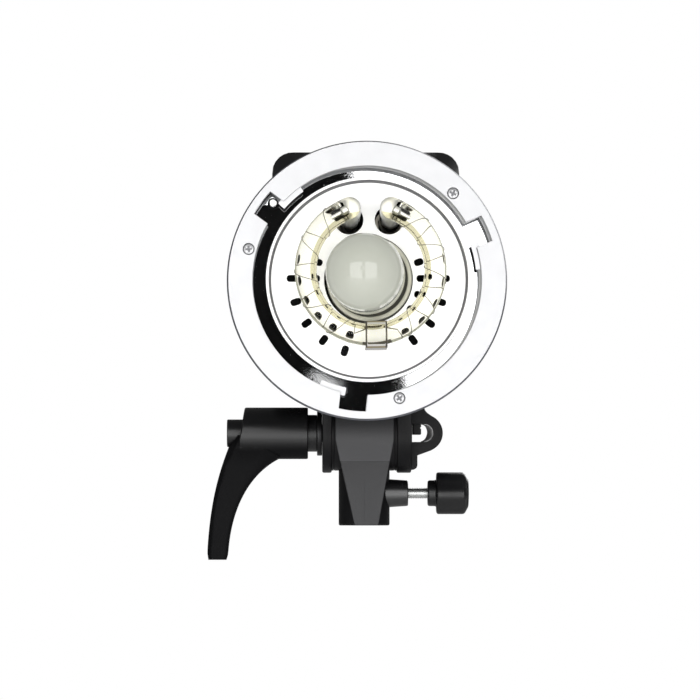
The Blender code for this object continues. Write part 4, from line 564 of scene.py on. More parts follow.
OUTWARD = TILT @ turned(-90, "Y")
WASHER_RADIUS, WASHER_BORE, WASHER_FOOT = 10.2, 4.3, 19.2
NECK, NECK_END, NECK_RADIUS = 21.5, 37.6, 8.4
STUD_RADIUS, SPRING_ROOM, SPRING_SEAT = 4, 3.3, NECK_END - 6.8
HUB, HUB_END, HUB_RADIUS, HUB_SLANT = 25.6, 54.4, 11.75, 0.15
BUTTON_RADIUS, BUTTON_FOOT, BUTTON_END = 6.3, 50.6, 62.5
dull = plated("dull_steel", (0.04, 0.04, 0.041), 0.35, 0.4)
washer = [(WASHER_BORE, WASHER_FOOT), (WASHER_RADIUS, WASHER_FOOT)]
washer += [(WASHER_RADIUS, NECK - 0.02), (WASHER_BORE, NECK - 0.02)]
make("thrust_washer", hoop(washer, 0.4, 4, 96, OUTWARD), dull, "lever_hub", "silver_metal", "lever_washer")
stud = [(0, -18.3), (STUD_RADIUS, -18.3), (STUD_RADIUS, NECK), (NECK_RADIUS, NECK), (NECK_RADIUS, NECK_END)]
stud = softened(stud + [(SPRING_ROOM, NECK_END), (SPRING_ROOM, SPRING_SEAT), (0, SPRING_SEAT)], 0.3, 2)
make("stud_neck", spun(stud, 64, OUTWARD), satin, "lever_hub", "black_plastic", "tilt_stud")
for name, start in (("left", DRUM_HALF + 0.03), ("right", 0.03 - CHEEK_INNER)):
    end = start + CHEEK_INNER - DRUM_HALF - 0.06
    disc = [(STUD_HOLE, start), (DRUM_RADIUS, start), (DRUM_RADIUS, end), (STUD_HOLE, end)]
    disc = spun(disc + disc[:1], 96, OUTWARD)
    make("friction_disc_" + name, disc, black, "head", "steel", "friction_washer_" + name)
far = HUB_END + 9.6
lever = spun(softened([(0, HUB), (HUB_RADIUS, HUB), (HUB_RADIUS, far + 6), (0, far + 6)], 0.7), 112)
whole = lever.verts[:] + lever.edges[:] + lever.faces[:]
sliced = bmesh.ops.bisect_plane(lever, geom=whole, plane_co=(HUB_RADIUS, 0, HUB_END),
                                plane_no=(HUB_SLANT, 0, 1), clear_outer=True)
rim = [item for item in sliced["geom_cut"] if isinstance(item, bmesh.types.BMEdge)]
bmesh.ops.holes_fill(lever, edges=rim)
bmesh.ops.recalc_face_normals(lever, faces=lever.faces)
rim_bevel(lever, [item for item in rim if item.is_valid], 0.7)


def bezier(controls, steps):
    """Points along a cubic curve."""
    points = []
    for i in range(steps + 1):
        t = i / steps
        weights = ((1 - t) ** 3, 3 * t * (1 - t) ** 2, 3 * t * t * (1 - t), t ** 3)
        points.append(tuple(sum(w * c[k] for w, c in zip(weights, controls)) for k in (0, 1)))
    return points


def squared(value):
    """A cosine or sine drawn out towards a rounded square's."""
    return math.copysign(abs(value) ** ARM_ROUND, value)


ARM_DROP, ARM_ROUND, ARM_STEPS, ARM_SIDES = 57.6, 0.45, 30, 40
tip_out = far + 7.6
tip_in = tip_out - 9.6
outer_edge = [(HUB_END + 4.8, 0), (HUB_END + 11, -15), (tip_out - 1.2, -28.8), (tip_out, -ARM_DROP)]
inner_edge = [(37.6, -11.1), (52.3, -18), (tip_in - 0.7, -34.6), (tip_in, -ARM_DROP)]
grip = bmesh.new()
sections = []
for i, (near, beyond) in enumerate(zip(bezier(inner_edge, ARM_STEPS), bezier(outer_edge, ARM_STEPS))):
    shrink = 1 - 0.14 * max(0, i - ARM_STEPS + 1.6) ** 2 / 2.56
    middle, reach = (Vector(near) + Vector(beyond)) / 2, (Vector(beyond) - Vector(near)) / 2
    verts = []
    for k in range(ARM_SIDES):
        turn = math.tau * k / ARM_SIDES
        spot = middle + reach * squared(math.cos(turn)) * shrink
        ridge = min(55 - 0.55 * spot.y, beyond[0] - 1.6)
        half = 4.7 + 5.2 * math.exp(min(0, spot.y + 7) / 5)
        half = max(2.5, half - 1.2 * max(0, spot.x - ridge))
        verts.append(grip.verts.new((spot.y, squared(math.sin(turn)) * half * shrink, spot.x)))
    sections.append([grip.edges.new((verts[k - 1], verts[k])) for k in range(ARM_SIDES)])
for first, second in zip(sections, sections[1:]):
    bmesh.ops.bridge_loops(grip, edges=first + second)
lever = fuse(lever, plugged(grip))
for radius, low, high, steps in ((8.7, 20, NECK_END + 0.3, 64), (3.3, 20, 60, 32), (6.6, 40.4, 90, 64)):
    lever = carve(lever, peg(radius, low, high, steps))
look = Shading("lever_nylon")
height = look.along("Z", TILT_HEIGHT)
aside = look.along("Y")
off_axis = (aside * aside + height * height) ** 0.5
on_arm = look.slope(off_axis, HUB_RADIUS - 0.1, HUB_RADIUS + 0.4, "SMOOTHSTEP")
on_arm = on_arm.most(look.slope(height, -3, -8.5, "SMOOTHSTEP"))
on_arm = on_arm.most((look.along("X") * -1.0).above((HUB_END + 2.2) * MM))
fleck, haze = look.noise(0.3, 3), look.noise(10, 3)
skin = look.mix(fleck * 0.5 + haze * 0.5, NYLON_BLACK, (0.007, 0.007, 0.0075))
pebbled = look.bump(fleck, 0.3, 0.03)
barrel = look.shader(skin, 0.25 + haze * 0.08, Normal=pebbled, Specular_IOR_Level=0.5)
arm = look.shader(skin, 0.5 + haze * 0.08, Normal=pebbled, Specular_IOR_Level=0.05)
lever_nylon = look.finish(look.node("MixShader", {}, {0: on_arm, 1: barrel, 2: arm}))
make("lever_moulding", lever, lever_nylon, "lever", "black_plastic", "tilt_lever", crease=30, place=OUTWARD)
button = [(0, NECK_END - 6.5), (3, NECK_END - 6.5), (3, BUTTON_FOOT), (BUTTON_RADIUS, BUTTON_FOOT)]
button += [(BUTTON_RADIUS, BUTTON_END), (4.4, BUTTON_END), (4.1, BUTTON_END - 0.5), (0, BUTTON_END - 0.5)]
button = spun(softened(button, 0.6, 3), 72, OUTWARD)
make("lever_cap", button, satin, "lever_hub", "black_plastic", "lever_button")


# Bayonet front: a die-cast ring in fine silver lacquer with three keyed notches and stop lips,
# held by three cross-head screws. Behind it lies a polished plate that the lugs slide on.
def gathered(*parts):
    """Several separate shapes in one mesh."""
    whole = bmesh.new()
    for part in parts:
        mesh = bpy.data.meshes.new("blank")
        part.to_mesh(mesh)
        part.free()
        whole.from_mesh(mesh)
        bpy.data.meshes.remove(mesh)
    return whole


def spoke(turn, radius, height=0):
    """A place on a circle round the light's axis."""
    return turned(turn) @ at(radius, 0, height)


def centred(half, tall, radius, steps=5):
    return oblong(-half, half, -tall, tall, radius, steps)


def loop(bm, radii, angles, height=0):
    """A ring of points at the given angles, at one radius or at a radius each."""
    if not isinstance(radii, list):
        radii = [radii] * len(angles)
    turns = [math.radians(angle) for angle in angles]
    return [bm.verts.new((r * math.cos(a), r * math.sin(a), height)) for r, a in zip(radii, turns)]


def skinned(bm, rings):
    """Faces from each ring of points to the next, and from the last back to the first."""
    for first, second in zip(rings, rings[1:] + rings[:1]):
        for i in range(len(first)):
            bm.faces.new((first[i - 1], first[i], second[i], second[i - 1]))
    bmesh.ops.recalc_face_normals(bm, faces=bm.faces)


FACE = at(0, FRONT, AXIS) @ UPRIGHT
THROAT, NOTCH_RADIUS, NOTCH_HALF, THROAT_STEPS = 49.6, 56.8, 5.85, 53
BEZEL_RADIUS, BEZEL_THICKNESS, WEB_RADIUS = 60.8, 3.5, 58.4
NOTCHES = (23.5, 143.5, 263.5)
SCREWS, SCREW_CIRCLE = (45.3, 165.3, 285.3), 53.0
INNER_DRAFT, OUTER_DRAFT, BROKEN_EDGE = 0.1, 0.7, 0.1
LEAD_IN, LEAD_TURN = 1.1, 15
LIP_INNER, LIP_OUTER, LIP_BEFORE, LIP_AFTER = 47.4, 51, 11.2, 2.4


def throat_line(draft):
    """Radii and angles round the throat and its three notches, opened out by the draft."""
    side = NOTCH_HALF + draft
    mouth, root = (math.degrees(math.asin(side / (reach + draft))) for reach in (THROAT, NOTCH_RADIUS))
    radii, angles = [], []
    for notch in NOTCHES:
        for offset in (-mouth, -root, -3, 0, 3, root, mouth):
            angles.append(notch + offset)
            radii.append((THROAT if abs(offset) == mouth else NOTCH_RADIUS) + draft)
        for k in range(1, THROAT_STEPS):
            angles.append(notch + mouth + (120 - 2 * mouth) * k / THROAT_STEPS)
            radii.append(THROAT + draft)
    return radii, angles


edge_levels = [(0, BROKEN_EDGE), (-BROKEN_EDGE, 0)]
bezel = bmesh.new()
rings = [loop(bezel, WEB_RADIUS, throat_line(INNER_DRAFT)[1])]
for height, broken in edge_levels:
    rings.append(loop(bezel, *throat_line(INNER_DRAFT + broken), height))
radii, angles = throat_line(0)
leads = [LEAD_IN * max(0, math.cos(math.radians(angle - LEAD_TURN))) ** 0.5 for angle in angles]
rings.append(loop(bezel, [radius - lead for radius, lead in zip(radii, leads)], angles, -BEZEL_THICKNESS))
for radius in (WEB_RADIUS, BEZEL_RADIUS):
    rings.append(loop(bezel, radius, angles, -BEZEL_THICKNESS))
for height, broken in edge_levels[::-1]:
    rings.append(loop(bezel, BEZEL_RADIUS - OUTER_DRAFT - broken, angles, height))
skinned(bezel, rings)
sink = [(0, -6), (1.7, -6), (1.7, -2.2), (2.6, -2.2), (2.6, 2), (0, 2)]
bezel = carve(bezel, gathered(*[spun(sink, 40, spoke(turn, SCREW_CIRCLE)) for turn in SCREWS]))
look = Shading("cast_lacquer")
depth = look.along("Y", FRONT)
fine, stain = look.noise(0.25, 4), look.noise(9, 3)
front_face = look.mix(stain, (0.53, 0.532, 0.542), (0.61, 0.612, 0.622))
# Painted shade: the bezel's walls are darker copies of the lacquer, darkest on the outer side. In the throat
# the colour grows lighter with depth, painted light against the shade near the plate.
throat = look.mix(look.slope(depth, 1.0, 3.3), (0.25, 0.252, 0.26), (0.5, 0.502, 0.51))
outer_side_painted_shade = look.mix(stain, (0.12, 0.126, 0.15), (0.14, 0.146, 0.17))
walls_painted_shade = look.mix(look.radius().above(WEB_RADIUS * MM), throat, outer_side_painted_shade)
colour = look.mix(depth.above((BROKEN_EDGE + 0.03) * MM), front_face, walls_painted_shade)
cast_lacquer = look.finish(look.shader(colour, 0.36 + fine * 0.12 + stain * 0.05, Metallic=0.42,
                                       Normal=look.bump(fine, 0.12, 0.02)))
make("bezel_casting", bezel, cast_lacquer, "head", "silver_metal", "bayonet_bezel", crease=25, place=FACE)
mouth_half = math.degrees(math.asin(NOTCH_HALF / THROAT))
lips = []
for notch in NOTCHES:
    start, end = notch - mouth_half - LIP_BEFORE, notch - mouth_half + LIP_AFTER
    lip = arc(0, 0, LIP_INNER, start, end, 12) + arc(0, 0, LIP_OUTER, end, start, 12)
    lips.append(slab(softened(lip, 0.8, 3, closed=True), -2.3, -1.3, 0.25))
look = Shading("lip_lacquer")
grain = look.noise(0.25, 4)
lit_side = look.mix(grain, (0.57, 0.572, 0.582), (0.61, 0.612, 0.622))
# Painted shade: faces of the lips that turn back into the housing are near black.
colour = look.mix(look.facing("Y").above(0.3), lit_side, (0.012, 0.012, 0.013))
lip_lacquer = look.finish(look.shader(colour, 0.38 + grain * 0.1, Metallic=0.42))
make("stop_lips", gathered(*lips), lip_lacquer, "head", "silver_metal", "bayonet_bezel", place=FACE)


def cross_screw(head, rise, shank, length, place):
    """A cross-head screw with a slightly domed head, standing on its seat."""
    side = [(0, -length), (shank, -length), (shank, 0), (head, 0), (head, rise * 0.7), (head * 0.55, rise)]
    bm = spun(softened(side + [(0, rise)], 0.2, 2), 40)
    for turn in (20, 110):
        groove = turned(turn) @ at(0, 0, rise) @ turned(45, "X")
        bm = carve(bm, slab(centred(head * 0.6, 0.55, 0.05, 1), -0.55, 0.55, 0, groove))
    return moved(bm, place)


look = Shading("screw_steel")
# Painted shade: where the screw heads lie more than half a millimetre behind the bezel's face, down in their
# sinks, the steel is painted a darker grey.
recess_painted_shade = look.along("Y", FRONT).above(0.52 * MM)
colour = look.mix(recess_painted_shade, (0.82, 0.82, 0.83), (0.36, 0.36, 0.37))
screw_steel = look.finish(look.shader(colour, 0.35 + look.noise(0.3, 3) * 0.12, Metallic=0.85))
for number, turn in enumerate(SCREWS, 1):
    screw = cross_screw(2.45, 1.75, 1.4, 9, FACE @ spoke(turn, SCREW_CIRCLE, -1.9))
    make("front_screw_%d" % number, screw, screw_steel, "head", "steel", "bezel_screw_%d" % number)
PLATE, SHEET, PLATE_RADIUS = -11.8, 1.2, 56.9
PAN_RADIUS, PAN_ACROSS, PAN_UP = 44.6, 0.7, 0.8
PAN = at(PAN_ACROSS, PAN_UP)
LOCK = spoke(140.2, SCREW_CIRCLE)
look = Shading("polished_plate")
smear = look.noise(12, 3)
pits = (look.noise(0.8, 1) - 0.68).most(0.0)
ripple = look.bump(look.noise(0.5, 3) + pits * 6.5, 0.5, 0.004)
colour = look.mix(smear, (0.86, 0.87, 0.88), (0.92, 0.92, 0.93))
mirror = look.finish(look.shader(colour, 0.01 + smear * 0.02, Metallic=1.0, Normal=ripple))
bore = PAN_RADIUS - 1.5
plate = [(bore, PLATE - SHEET), (PLATE_RADIUS, PLATE - SHEET), (PLATE_RADIUS, PLATE), (bore, PLATE)]
plate = carve(hoop(plate, 0.25, 2, 180), peg(2.4, -20, 0, 32, LOCK))
plate = carve(plate, peg(PAN_RADIUS + 0.2, -20, 0, 180, PAN))
make("polished_plate", plate, mirror, "head", "mirror_metal", "bayonet_plate", place=FACE)

# Bayonet lock: a turned steel pin that springs up behind the upper left notch, with a black slider
# on the collar's side that draws it back.
bright = plated("bright_steel", (0.74, 0.74, 0.73), 0.2, 0.4)
pin = [(0, -20.8), (1.1, -20.8), (1.1, -18.5), (1.6, -18.5), (1.6, -4.5), (0, -4.5)]
make("lock_pin_turned", spun(softened(pin, 0.5, 3), 40, FACE @ LOCK), bright, "release", "steel", "lock_pin")
SLIDER_LOW, SLIDER_HIGH = -22.8, -18.8
bar = softened([(-9.9, -2.5), (6.8, -2.5), (6.8, 2.5), (-9.9, 2.5)], 0.4, 3, closed=True)
tab = oblong(6.8, 7.6, -4.5, 4.5, 0.2, 2)
slider = fuse(slab(bar, SLIDER_LOW, SLIDER_HIGH, 0.3), slab(tab, SLIDER_LOW, SLIDER_HIGH, 0.2))
for rib in range(3):
    groove = oblong(7.3, 9, -3 + 2.6 * rib, -2.2 + 2.6 * rib, 0.1, 1)
    slider = carve(slider, slab(groove, -30, -10))
make("release_catch", slider, black, "release", "black_plastic", "release_slider", place=FACE @ LOCK)

# Front collar: the black moulding behind the bezel, round at the front and blending into the box.
# A deck inside it carries the plates, and posts take the bezel's screws.
BODY_HALF, BODY_TOP, BODY_DROP, BODY_CORNER, SHELL = 41.5, 59.4, 43.0, 9.0, 2.5
COLLAR_RADIUS, COLLAR_INNER, COLLAR_FRONT, COLLAR_DEPTH = 59.5, 57.2, -3.8, 44.0
DECK_BORE, DECK_LOW, DECK_HIGH = 38, -15.8, -13.3


def body_ring(bm, inset, height, turns):
    """The housing's rounded section, met at the given angles from the light's axis."""
    half, top, low, corner = BODY_HALF - inset, BODY_TOP - inset, inset - BODY_DROP, BODY_CORNER - inset
    verts = []
    for turn in turns:
        way = Vector((math.cos(turn), math.sin(turn)))
        to_side = half / abs(way.x) if way.x else 1e9
        to_edge = (top if way.y > 0 else -low) / abs(way.y) if way.y else 1e9
        spot = way * min(to_side, to_edge)
        middle = Vector((math.copysign(half - corner, way.x), top - corner if way.y > 0 else low + corner))
        if abs(spot.x) > abs(middle.x) and abs(spot.y) > abs(middle.y):
            along = way.dot(middle)
            spot = way * (along + math.sqrt(max(along * along - middle.length_squared + corner * corner, 0)))
        verts.append(bm.verts.new((spot.x, spot.y, height)))
    return verts


turns = [math.tau * i / 96 for i in range(96)]
for x in (-BODY_HALF, BODY_HALF):
    for y in (-BODY_DROP, BODY_TOP):
        turns += [math.atan2(y, x) % math.tau + step / 60 for step in (-7, -5, -3, -1, 1, 3, 5, 7)]
turns.sort()
degrees = [math.degrees(turn) for turn in turns]
collar = bmesh.new()
rings = [loop(collar, COLLAR_RADIUS, degrees, height) for height in (COLLAR_FRONT, -16, -29)]
rings += [body_ring(collar, inset, -COLLAR_DEPTH, turns) for inset in (0, SHELL)]
inner_side = [(COLLAR_INNER, -30), (COLLAR_INNER, DECK_LOW), (DECK_BORE, DECK_LOW), (DECK_BORE, DECK_HIGH)]
for radius, height in inner_side + [(COLLAR_INNER, DECK_HIGH), (COLLAR_INNER, COLLAR_FRONT)]:
    rings.append(loop(collar, radius, degrees, height))
skinned(collar, rings)
collar = carve(collar, slab(oblong(2.5, 12, -2.9, 2.9, 0.4, 2), -27.6, -18.4, 0, LOCK))
post = [(1.75, -14.5), (3.2, -14.5), (3.2, COLLAR_FRONT), (1.75, COLLAR_FRONT), (1.75, -14.5)]
collar = fuse(collar, gathered(*[spun(post, 28, spoke(turn, SCREW_CIRCLE)) for turn in SCREWS]))
collar = carve(collar, peg(2.0, -20, 0, 28, LOCK))
shell_black = moulded("shell_black", (0.006, 0.006, 0.0065), (0.012, 0.012, 0.013), 0.5, 0.45, 0.07, 0.3)
make("collar_moulding", collar, shell_black, "head", "black_plastic", "front_collar", crease=30, place=FACE)

# Lamp pan: a white-enamelled steel pressing with a rolled rim, a well for the lamp holder,
# two holes for the flash tube's legs and a fan of cooling slots round its lower half.
UNIT_ACROSS, UNIT_UP = 1.2, 1.4
UNIT = at(UNIT_ACROSS, UNIT_UP)
SLOT_INNER, SLOT_OUTER, SLOT_HALF, SLOT_ACROSS = (21.0, 25.2), (30.8, 35.6), 1.55, 0.7
SLOT_TURNS = (162, 180, 198, 216, 234, 252, 306, 324, 342, 360, 378)
WELL_RADIUS, WELL = 19.35, UNIT @ at(-0.45, -0.4)
TUBE_RADIUS, TUBE_BORE, TUBE_RING, TUBE_AHEAD, BORE_OUT = 4.75, 3.85, 28.0, 8.0, 0.45
TUBE_ACROSS, TUBE_RISE, TUBE_BEND, TUBE_OPENING = 1.4, 3.9, 6.0, math.radians(30)
LEG_DROP, LEG_END, LEG_HOLE = 6.6, -22.0, TUBE_RADIUS + 1.6
HOLE_ACROSS, HOLE_UP = -0.4, -0.4
tube_start, tube_end = math.pi / 2 + TUBE_OPENING, math.tau + math.pi / 2 - TUBE_OPENING


def on_ring(turn, radius=TUBE_RING, height=TUBE_AHEAD):
    return Vector((TUBE_ACROSS + radius * math.cos(turn), TUBE_RISE + radius * math.sin(turn), height))


def mirrored_x(point, side):
    """The point itself, or its twin on the tube's other side."""
    return Vector((TUBE_ACROSS + side * (point.x - TUBE_ACROSS), point.y, point.z))


bend = []
heading = Vector((math.sin(tube_start), -math.cos(tube_start), 0))
for i in range(1, 13):
    turn = math.pi / 2 * i / 12
    sweep = heading * math.sin(turn) - Vector((0, 0, 1 - math.cos(turn)))
    bend.append(on_ring(tube_start) + TUBE_BEND * sweep)
knee = bend[-1]
foot = knee + Vector((0, -LEG_DROP, LEG_END - knee.z))
at_plate = knee.lerp(foot, (PLATE - knee.z) / (foot.z - knee.z))
lip_radius, seam_radius = PAN_RADIUS - SHEET, PAN_RADIUS - SHEET - 0.9
pan = [(4, PLATE - SHEET), (PAN_RADIUS, PLATE - SHEET), (PAN_RADIUS, PLATE + 4), (lip_radius, PLATE + 4)]
pan += [(lip_radius, PLATE - 0.8), (seam_radius, PLATE - 0.8), (seam_radius, PLATE), (4, PLATE)]
openings = [peg(WELL_RADIUS, -30, 0, 128, WELL)]
for side in (-1, 1):
    hole = at(mirrored_x(at_plate, side).x + HOLE_ACROSS, at_plate.y + HOLE_UP)
    openings.append(peg(LEG_HOLE, -30, 0, 48, hole))
for turn in SLOT_TURNS:
    rows = (SLOT_INNER,) if turn in (SLOT_TURNS[0], SLOT_TURNS[-1]) else (SLOT_INNER, SLOT_OUTER)
    for start, end in rows:
        slot = oblong(start, end, -SLOT_HALF, SLOT_HALF, SLOT_HALF, 6)
        openings.append(slab(slot, -30, -11, 0, at(SLOT_ACROSS, UNIT_UP) @ turned(turn)))
pan = carve(hoop(pan, 0.3, 3, 160, PAN), gathered(*openings))
look = Shading("white_enamel_coat")
flow = look.noise(6, 3)
reach = look.radius(PAN_ACROSS, PAN_UP)
# Painted shadow: a dark grey ring in the groove inside the rolled rim, where the enamel also has no glow.
groove_painted_shadow = reach.above((lip_radius - 1.0) * MM) * (1 - reach.above((lip_radius + 0.02) * MM))
colour = look.mix(groove_painted_shadow, look.mix(flow, (0.87, 0.87, 0.865), (0.9, 0.9, 0.895)), (0.2, 0.2, 0.205))
# Painted light: the enamel glows faintly, lifting the shade that the tube and the bulb throw on the pan.
enamel = look.finish(look.shader(colour, 0.3 + flow * 0.1, Normal=look.bump(flow, 0.1, 0.05),
                                 Emission_Color=look.mix(groove_painted_shadow, (1, 1, 1), (0, 0, 0)), Emission_Strength=0.2))
make("pan_pressing", pan, enamel, "head", "white_enamel", "lamp_plate", crease=30, place=FACE)

# Modelling lamp: a frosted glass bulb in a brass screw cap, which leans a little in its socket.
# It screws into a glazed ceramic holder that stands in the pan's well.
LAMP_RADIUS, LAMP_NECK, LAMP_SHOULDER, LAMP_TIP = 16.85, -23.7, 12.3, 30.0
LEAN_ACROSS, LEAN_UP = -0.067, 0.036
bulb = [(0, LAMP_NECK), (12.2, LAMP_NECK), (13.2, LAMP_NECK + 6.4), (LAMP_RADIUS, LAMP_NECK + 16)]
bulb = softened(bulb + [(LAMP_RADIUS, 2)], 4, 6)
for i in range(24):
    turn = math.pi / 2 * i / 24
    dome = LAMP_SHOULDER + (LAMP_TIP - LAMP_SHOULDER) * math.sin(turn)
    bulb.append((LAMP_RADIUS * math.cos(turn), dome))
bulb = spun(bulb + [(0, LAMP_TIP)], 128)
for vert in bulb.verts:
    lean = vert.co.z - LAMP_NECK
    vert.co.xy += Vector((UNIT_ACROSS + LEAN_ACROSS * lean, UNIT_UP + LEAN_UP * lean))
look = Shading("frosted_bulb")
powder, veil = look.noise(0.25), look.noise(8)
colour = look.mix(veil, (0.185, 0.19, 0.16), (0.205, 0.21, 0.18))
# Painted light: the bulb glows faintly, standing in for light that comes through the frosted glass from the
# white pan behind it.
painted_glow = look.mix(veil, (0.92, 0.95, 0.83), (0.98, 1.0, 0.9))
frost = look.finish(look.shader(colour, 0.5 + powder * 0.1, Normal=look.bump(powder, 0.1, 0.01),
                                Specular_IOR_Level=0.0, Coat_Weight=1.0, Coat_Roughness=0.03,
                                Emission_Color=painted_glow, Emission_Strength=0.37))
make("bulb_glass", bulb, frost, "head", "frosted_glass", "modelling_lamp", crease=60, place=FACE)
holder = [(0, -59.7), (15.4, -59.7), (15.4, -31.7), (18.6, -31.7), (18.6, -13), (LAMP_RADIUS, -13)]
holder += [(13.6, -23.7), (13.6, -50.3), (0, -50.3)]
look = Shading("holder_glaze")
glaze = look.noise(5, 3)
outside = look.radius(UNIT_ACROSS, UNIT_UP).above(16.75 * MM)
# Painted shade: inside the bulb's radius the holder's seat is near black, for the shade in the gap under the
# bulb.
seat = look.mix(glaze, (0.02, 0.019, 0.016), (0.04, 0.037, 0.032))
colour = look.mix(outside, seat, look.mix(glaze, (0.56, 0.55, 0.47), (0.64, 0.63, 0.55)))
holder_glaze = look.finish(look.shader(colour, 0.4 + glaze * 0.15))
holder = spun(softened(holder, 0.6, 3), 112, FACE @ UNIT)
make("holder_ceramic", holder, holder_glaze, "head", "ceramic", "lamp_holder")


# Flash tube: clear borosilicate bent to an open ring with two legs that go back through the pan.
# Electrodes show in the legs, a fine trigger wire winds round the glass, and a clip holds its foot.
def hose(path, radius, sides):
    """A round tube along a path, open at its ends."""
    curve = bpy.data.curves.new("route", "CURVE")
    curve.dimensions = "3D"
    curve.bevel_depth = radius
    curve.bevel_resolution = sides // 2 - 2
    line = curve.splines.new("POLY")
    line.points.add(len(path) - 1)
    for point, spot in zip(line.points, path):
        point.co = (*spot, 1)
    route = placed("route", curve)
    depsgraph = bpy.context.evaluated_depsgraph_get()
    bm = bmesh.new()
    bm.from_mesh(bpy.data.meshes.new_from_object(route.evaluated_get(depsgraph)))
    bpy.data.objects.remove(route)
    return bm


def towards(way):
    return way.to_track_quat("Z", "Y").to_matrix().to_4x4()


TUBE_STEPS = 110
outer_line, inner_line = [], []
for i in range(TUBE_STEPS + 1):
    turn = tube_start + (tube_end - tube_start) * i / TUBE_STEPS
    outer_line.append(on_ring(turn))
    inner_line.append(on_ring(turn, TUBE_RING + BORE_OUT * min(1, i / 6, (TUBE_STEPS - i) / 6)))
leg = [foot.lerp(knee, i / 6) for i in range(6)]
leg_in, leg_out = leg + bend[::-1], [mirrored_x(point, -1) for point in bend + leg[::-1]]
tube = gathered(hose(leg_in + outer_line + leg_out, TUBE_RADIUS, 24),
                hose(leg_in + inner_line + leg_out, TUBE_BORE, 24))
bmesh.ops.remove_doubles(tube, verts=tube.verts, dist=1e-5)
ends = [item for item in tube.edges if item.is_boundary]
for side in (-1, 1):
    same_leg = [item for item in ends if (item.verts[0].co.x - TUBE_ACROSS) * side > 0]
    bmesh.ops.bridge_loops(tube, edges=same_leg)
bmesh.ops.recalc_face_normals(tube, faces=tube.faces)
look = Shading("tube_glass")
seed = look.noise(9)
reach, depth = look.radius(TUBE_ACROSS, TUBE_RISE), look.along("Y", FRONT)
inner_painted_reflection = (1 - reach.above((TUBE_RING - 2.0) * MM)) * (1 - depth.above((TUBE_RADIUS - TUBE_AHEAD) * MM))
colour = look.mix(seed, (0.993, 0.988, 0.95), (0.999, 0.994, 0.956))
# Painted reflection: the inner front of the tube is tinted beige, standing in for the cream bulb seen through
# the glass.
colour = look.mix(inner_painted_reflection, colour, (0.66, 0.625, 0.45))
colour = look.mix(reach.above((TUBE_RING + 4.55) * MM), colour, (0.9, 0.875, 0.72))
# Painted shade: behind the plate the legs are near black, for the shade inside the housing.
colour = look.mix(depth.above((0.4 - PLATE) * MM), colour, (0.03, 0.03, 0.028))
glass = look.finish(look.shader(colour, 0.01 + seed * 0.01, IOR=1.12, Transmission_Weight=1.0,
                                Normal=look.bump(seed, 0.03, 0.05)))
make("tube_glass", tube, glass, "head", "clear_glass", "flash_tube", crease=60, place=FACE)
nickel = plated("electrode_nickel", (0.86, 0.86, 0.84), 0.42, 0.4)
tungsten = plated("sintered_tungsten", (0.05, 0.05, 0.052), 0.4, 0.5)
LEAD_FORWARD, LEAD_TIP, LEAD_TAIL = 1.35, -0.16, 0.13
for name, side in (("left", 1), ("right", -1)):
    near, base = mirrored_x(knee, side), mirrored_x(foot, side)
    reach = (near - base).length
    rod = [(0, -2.3), (4.7, -2.3), (4.7, -0.3), (1.5, -0.3), (1.5, reach - 10), (3.0, reach - 9)]
    rod = softened(rod + [(3.0, reach - 2), (2.2, reach - 0.9), (0, reach - 0.6)], 0.7, 3)
    rod = spun(rod, 40, FACE @ at(*base) @ towards((near - base).normalized()))
    tip, tail = (mirrored_x(on_ring(tube_start + turn), side) for turn in (LEAD_TIP, LEAD_TAIL))
    span = (tip - tail).length
    lead = [(0, 0), (0.8, 0), (0.8, span - 3.2), (1.6, span - 2.6), (1.6, span), (0, span)]
    ahead_of_tail = at(*tail + Vector((0, 0, LEAD_FORWARD)))
    lead = spun(softened(lead, 0.6), 24, FACE @ ahead_of_tail @ towards(tip - tail))
    make("electrode_" + name, gathered(rod, lead), nickel, "head", "steel", "tube_electrode_" + name)
    jacket = softened([(0, 0.8), (1.9, 0.8), (1.9, span - 0.3), (0, span - 0.3)], 1.2)
    jacket = spun(jacket, 32, FACE @ at(*tail) @ towards(tip - tail))
    make("electrode_sleeve_" + name, jacket, tungsten, "head", "steel")
CLIP_TURN, CLIP_HALF, CLIP_SHEET = math.radians(275), 4.7, 0.8
WIRE_TURNS, WIRE_STEPS, WIRE_REACH = 5, 28, TUBE_RADIUS + 0.2
clear_turn = (CLIP_HALF + TUBE_RADIUS) / TUBE_RING
winding = []
for start, end in ((tube_start, CLIP_TURN - clear_turn), (CLIP_TURN + clear_turn, tube_end)):
    for i in range(WIRE_TURNS * WIRE_STEPS + 1):
        turn, wind = start + (end - start) * i / (WIRE_TURNS * WIRE_STEPS), math.tau * i / WIRE_STEPS
        winding.append(on_ring(turn, TUBE_RING + WIRE_REACH * math.sin(wind),
                               TUBE_AHEAD - WIRE_REACH * math.cos(wind)))
wire_steel = plated("trigger_steel", (0.16, 0.15, 0.13), 0.3, 0.5)
wire = plugged(hose(winding, 0.16, 8))
make("trigger_winding", wire, wire_steel, "head", "steel", "trigger_wire", crease=60, place=FACE)
near, beyond, strap_foot = TUBE_RADIUS + 0.3, TUBE_RADIUS + 0.3 + CLIP_SHEET, PLATE + 0.3 - TUBE_AHEAD
strap = [(near, strap_foot)] + arc(0, 0, near, 0, 180, 24) + [(-near, strap_foot)]
strap += [(-beyond, strap_foot)] + arc(0, 0, beyond, 180, 0, 24) + [(beyond, strap_foot)]
clip_window = slab(centred(4.3, 3.9, 0.6), 0, 30, 0, turned(-90, "X"))
clip = carve(slab(strap, -CLIP_HALF, CLIP_HALF, 0.2), clip_window)
look = Shading("spring_bronze")
forward, aside = look.facing("Y") * -1.0, look.along("X", on_ring(CLIP_TURN).x)
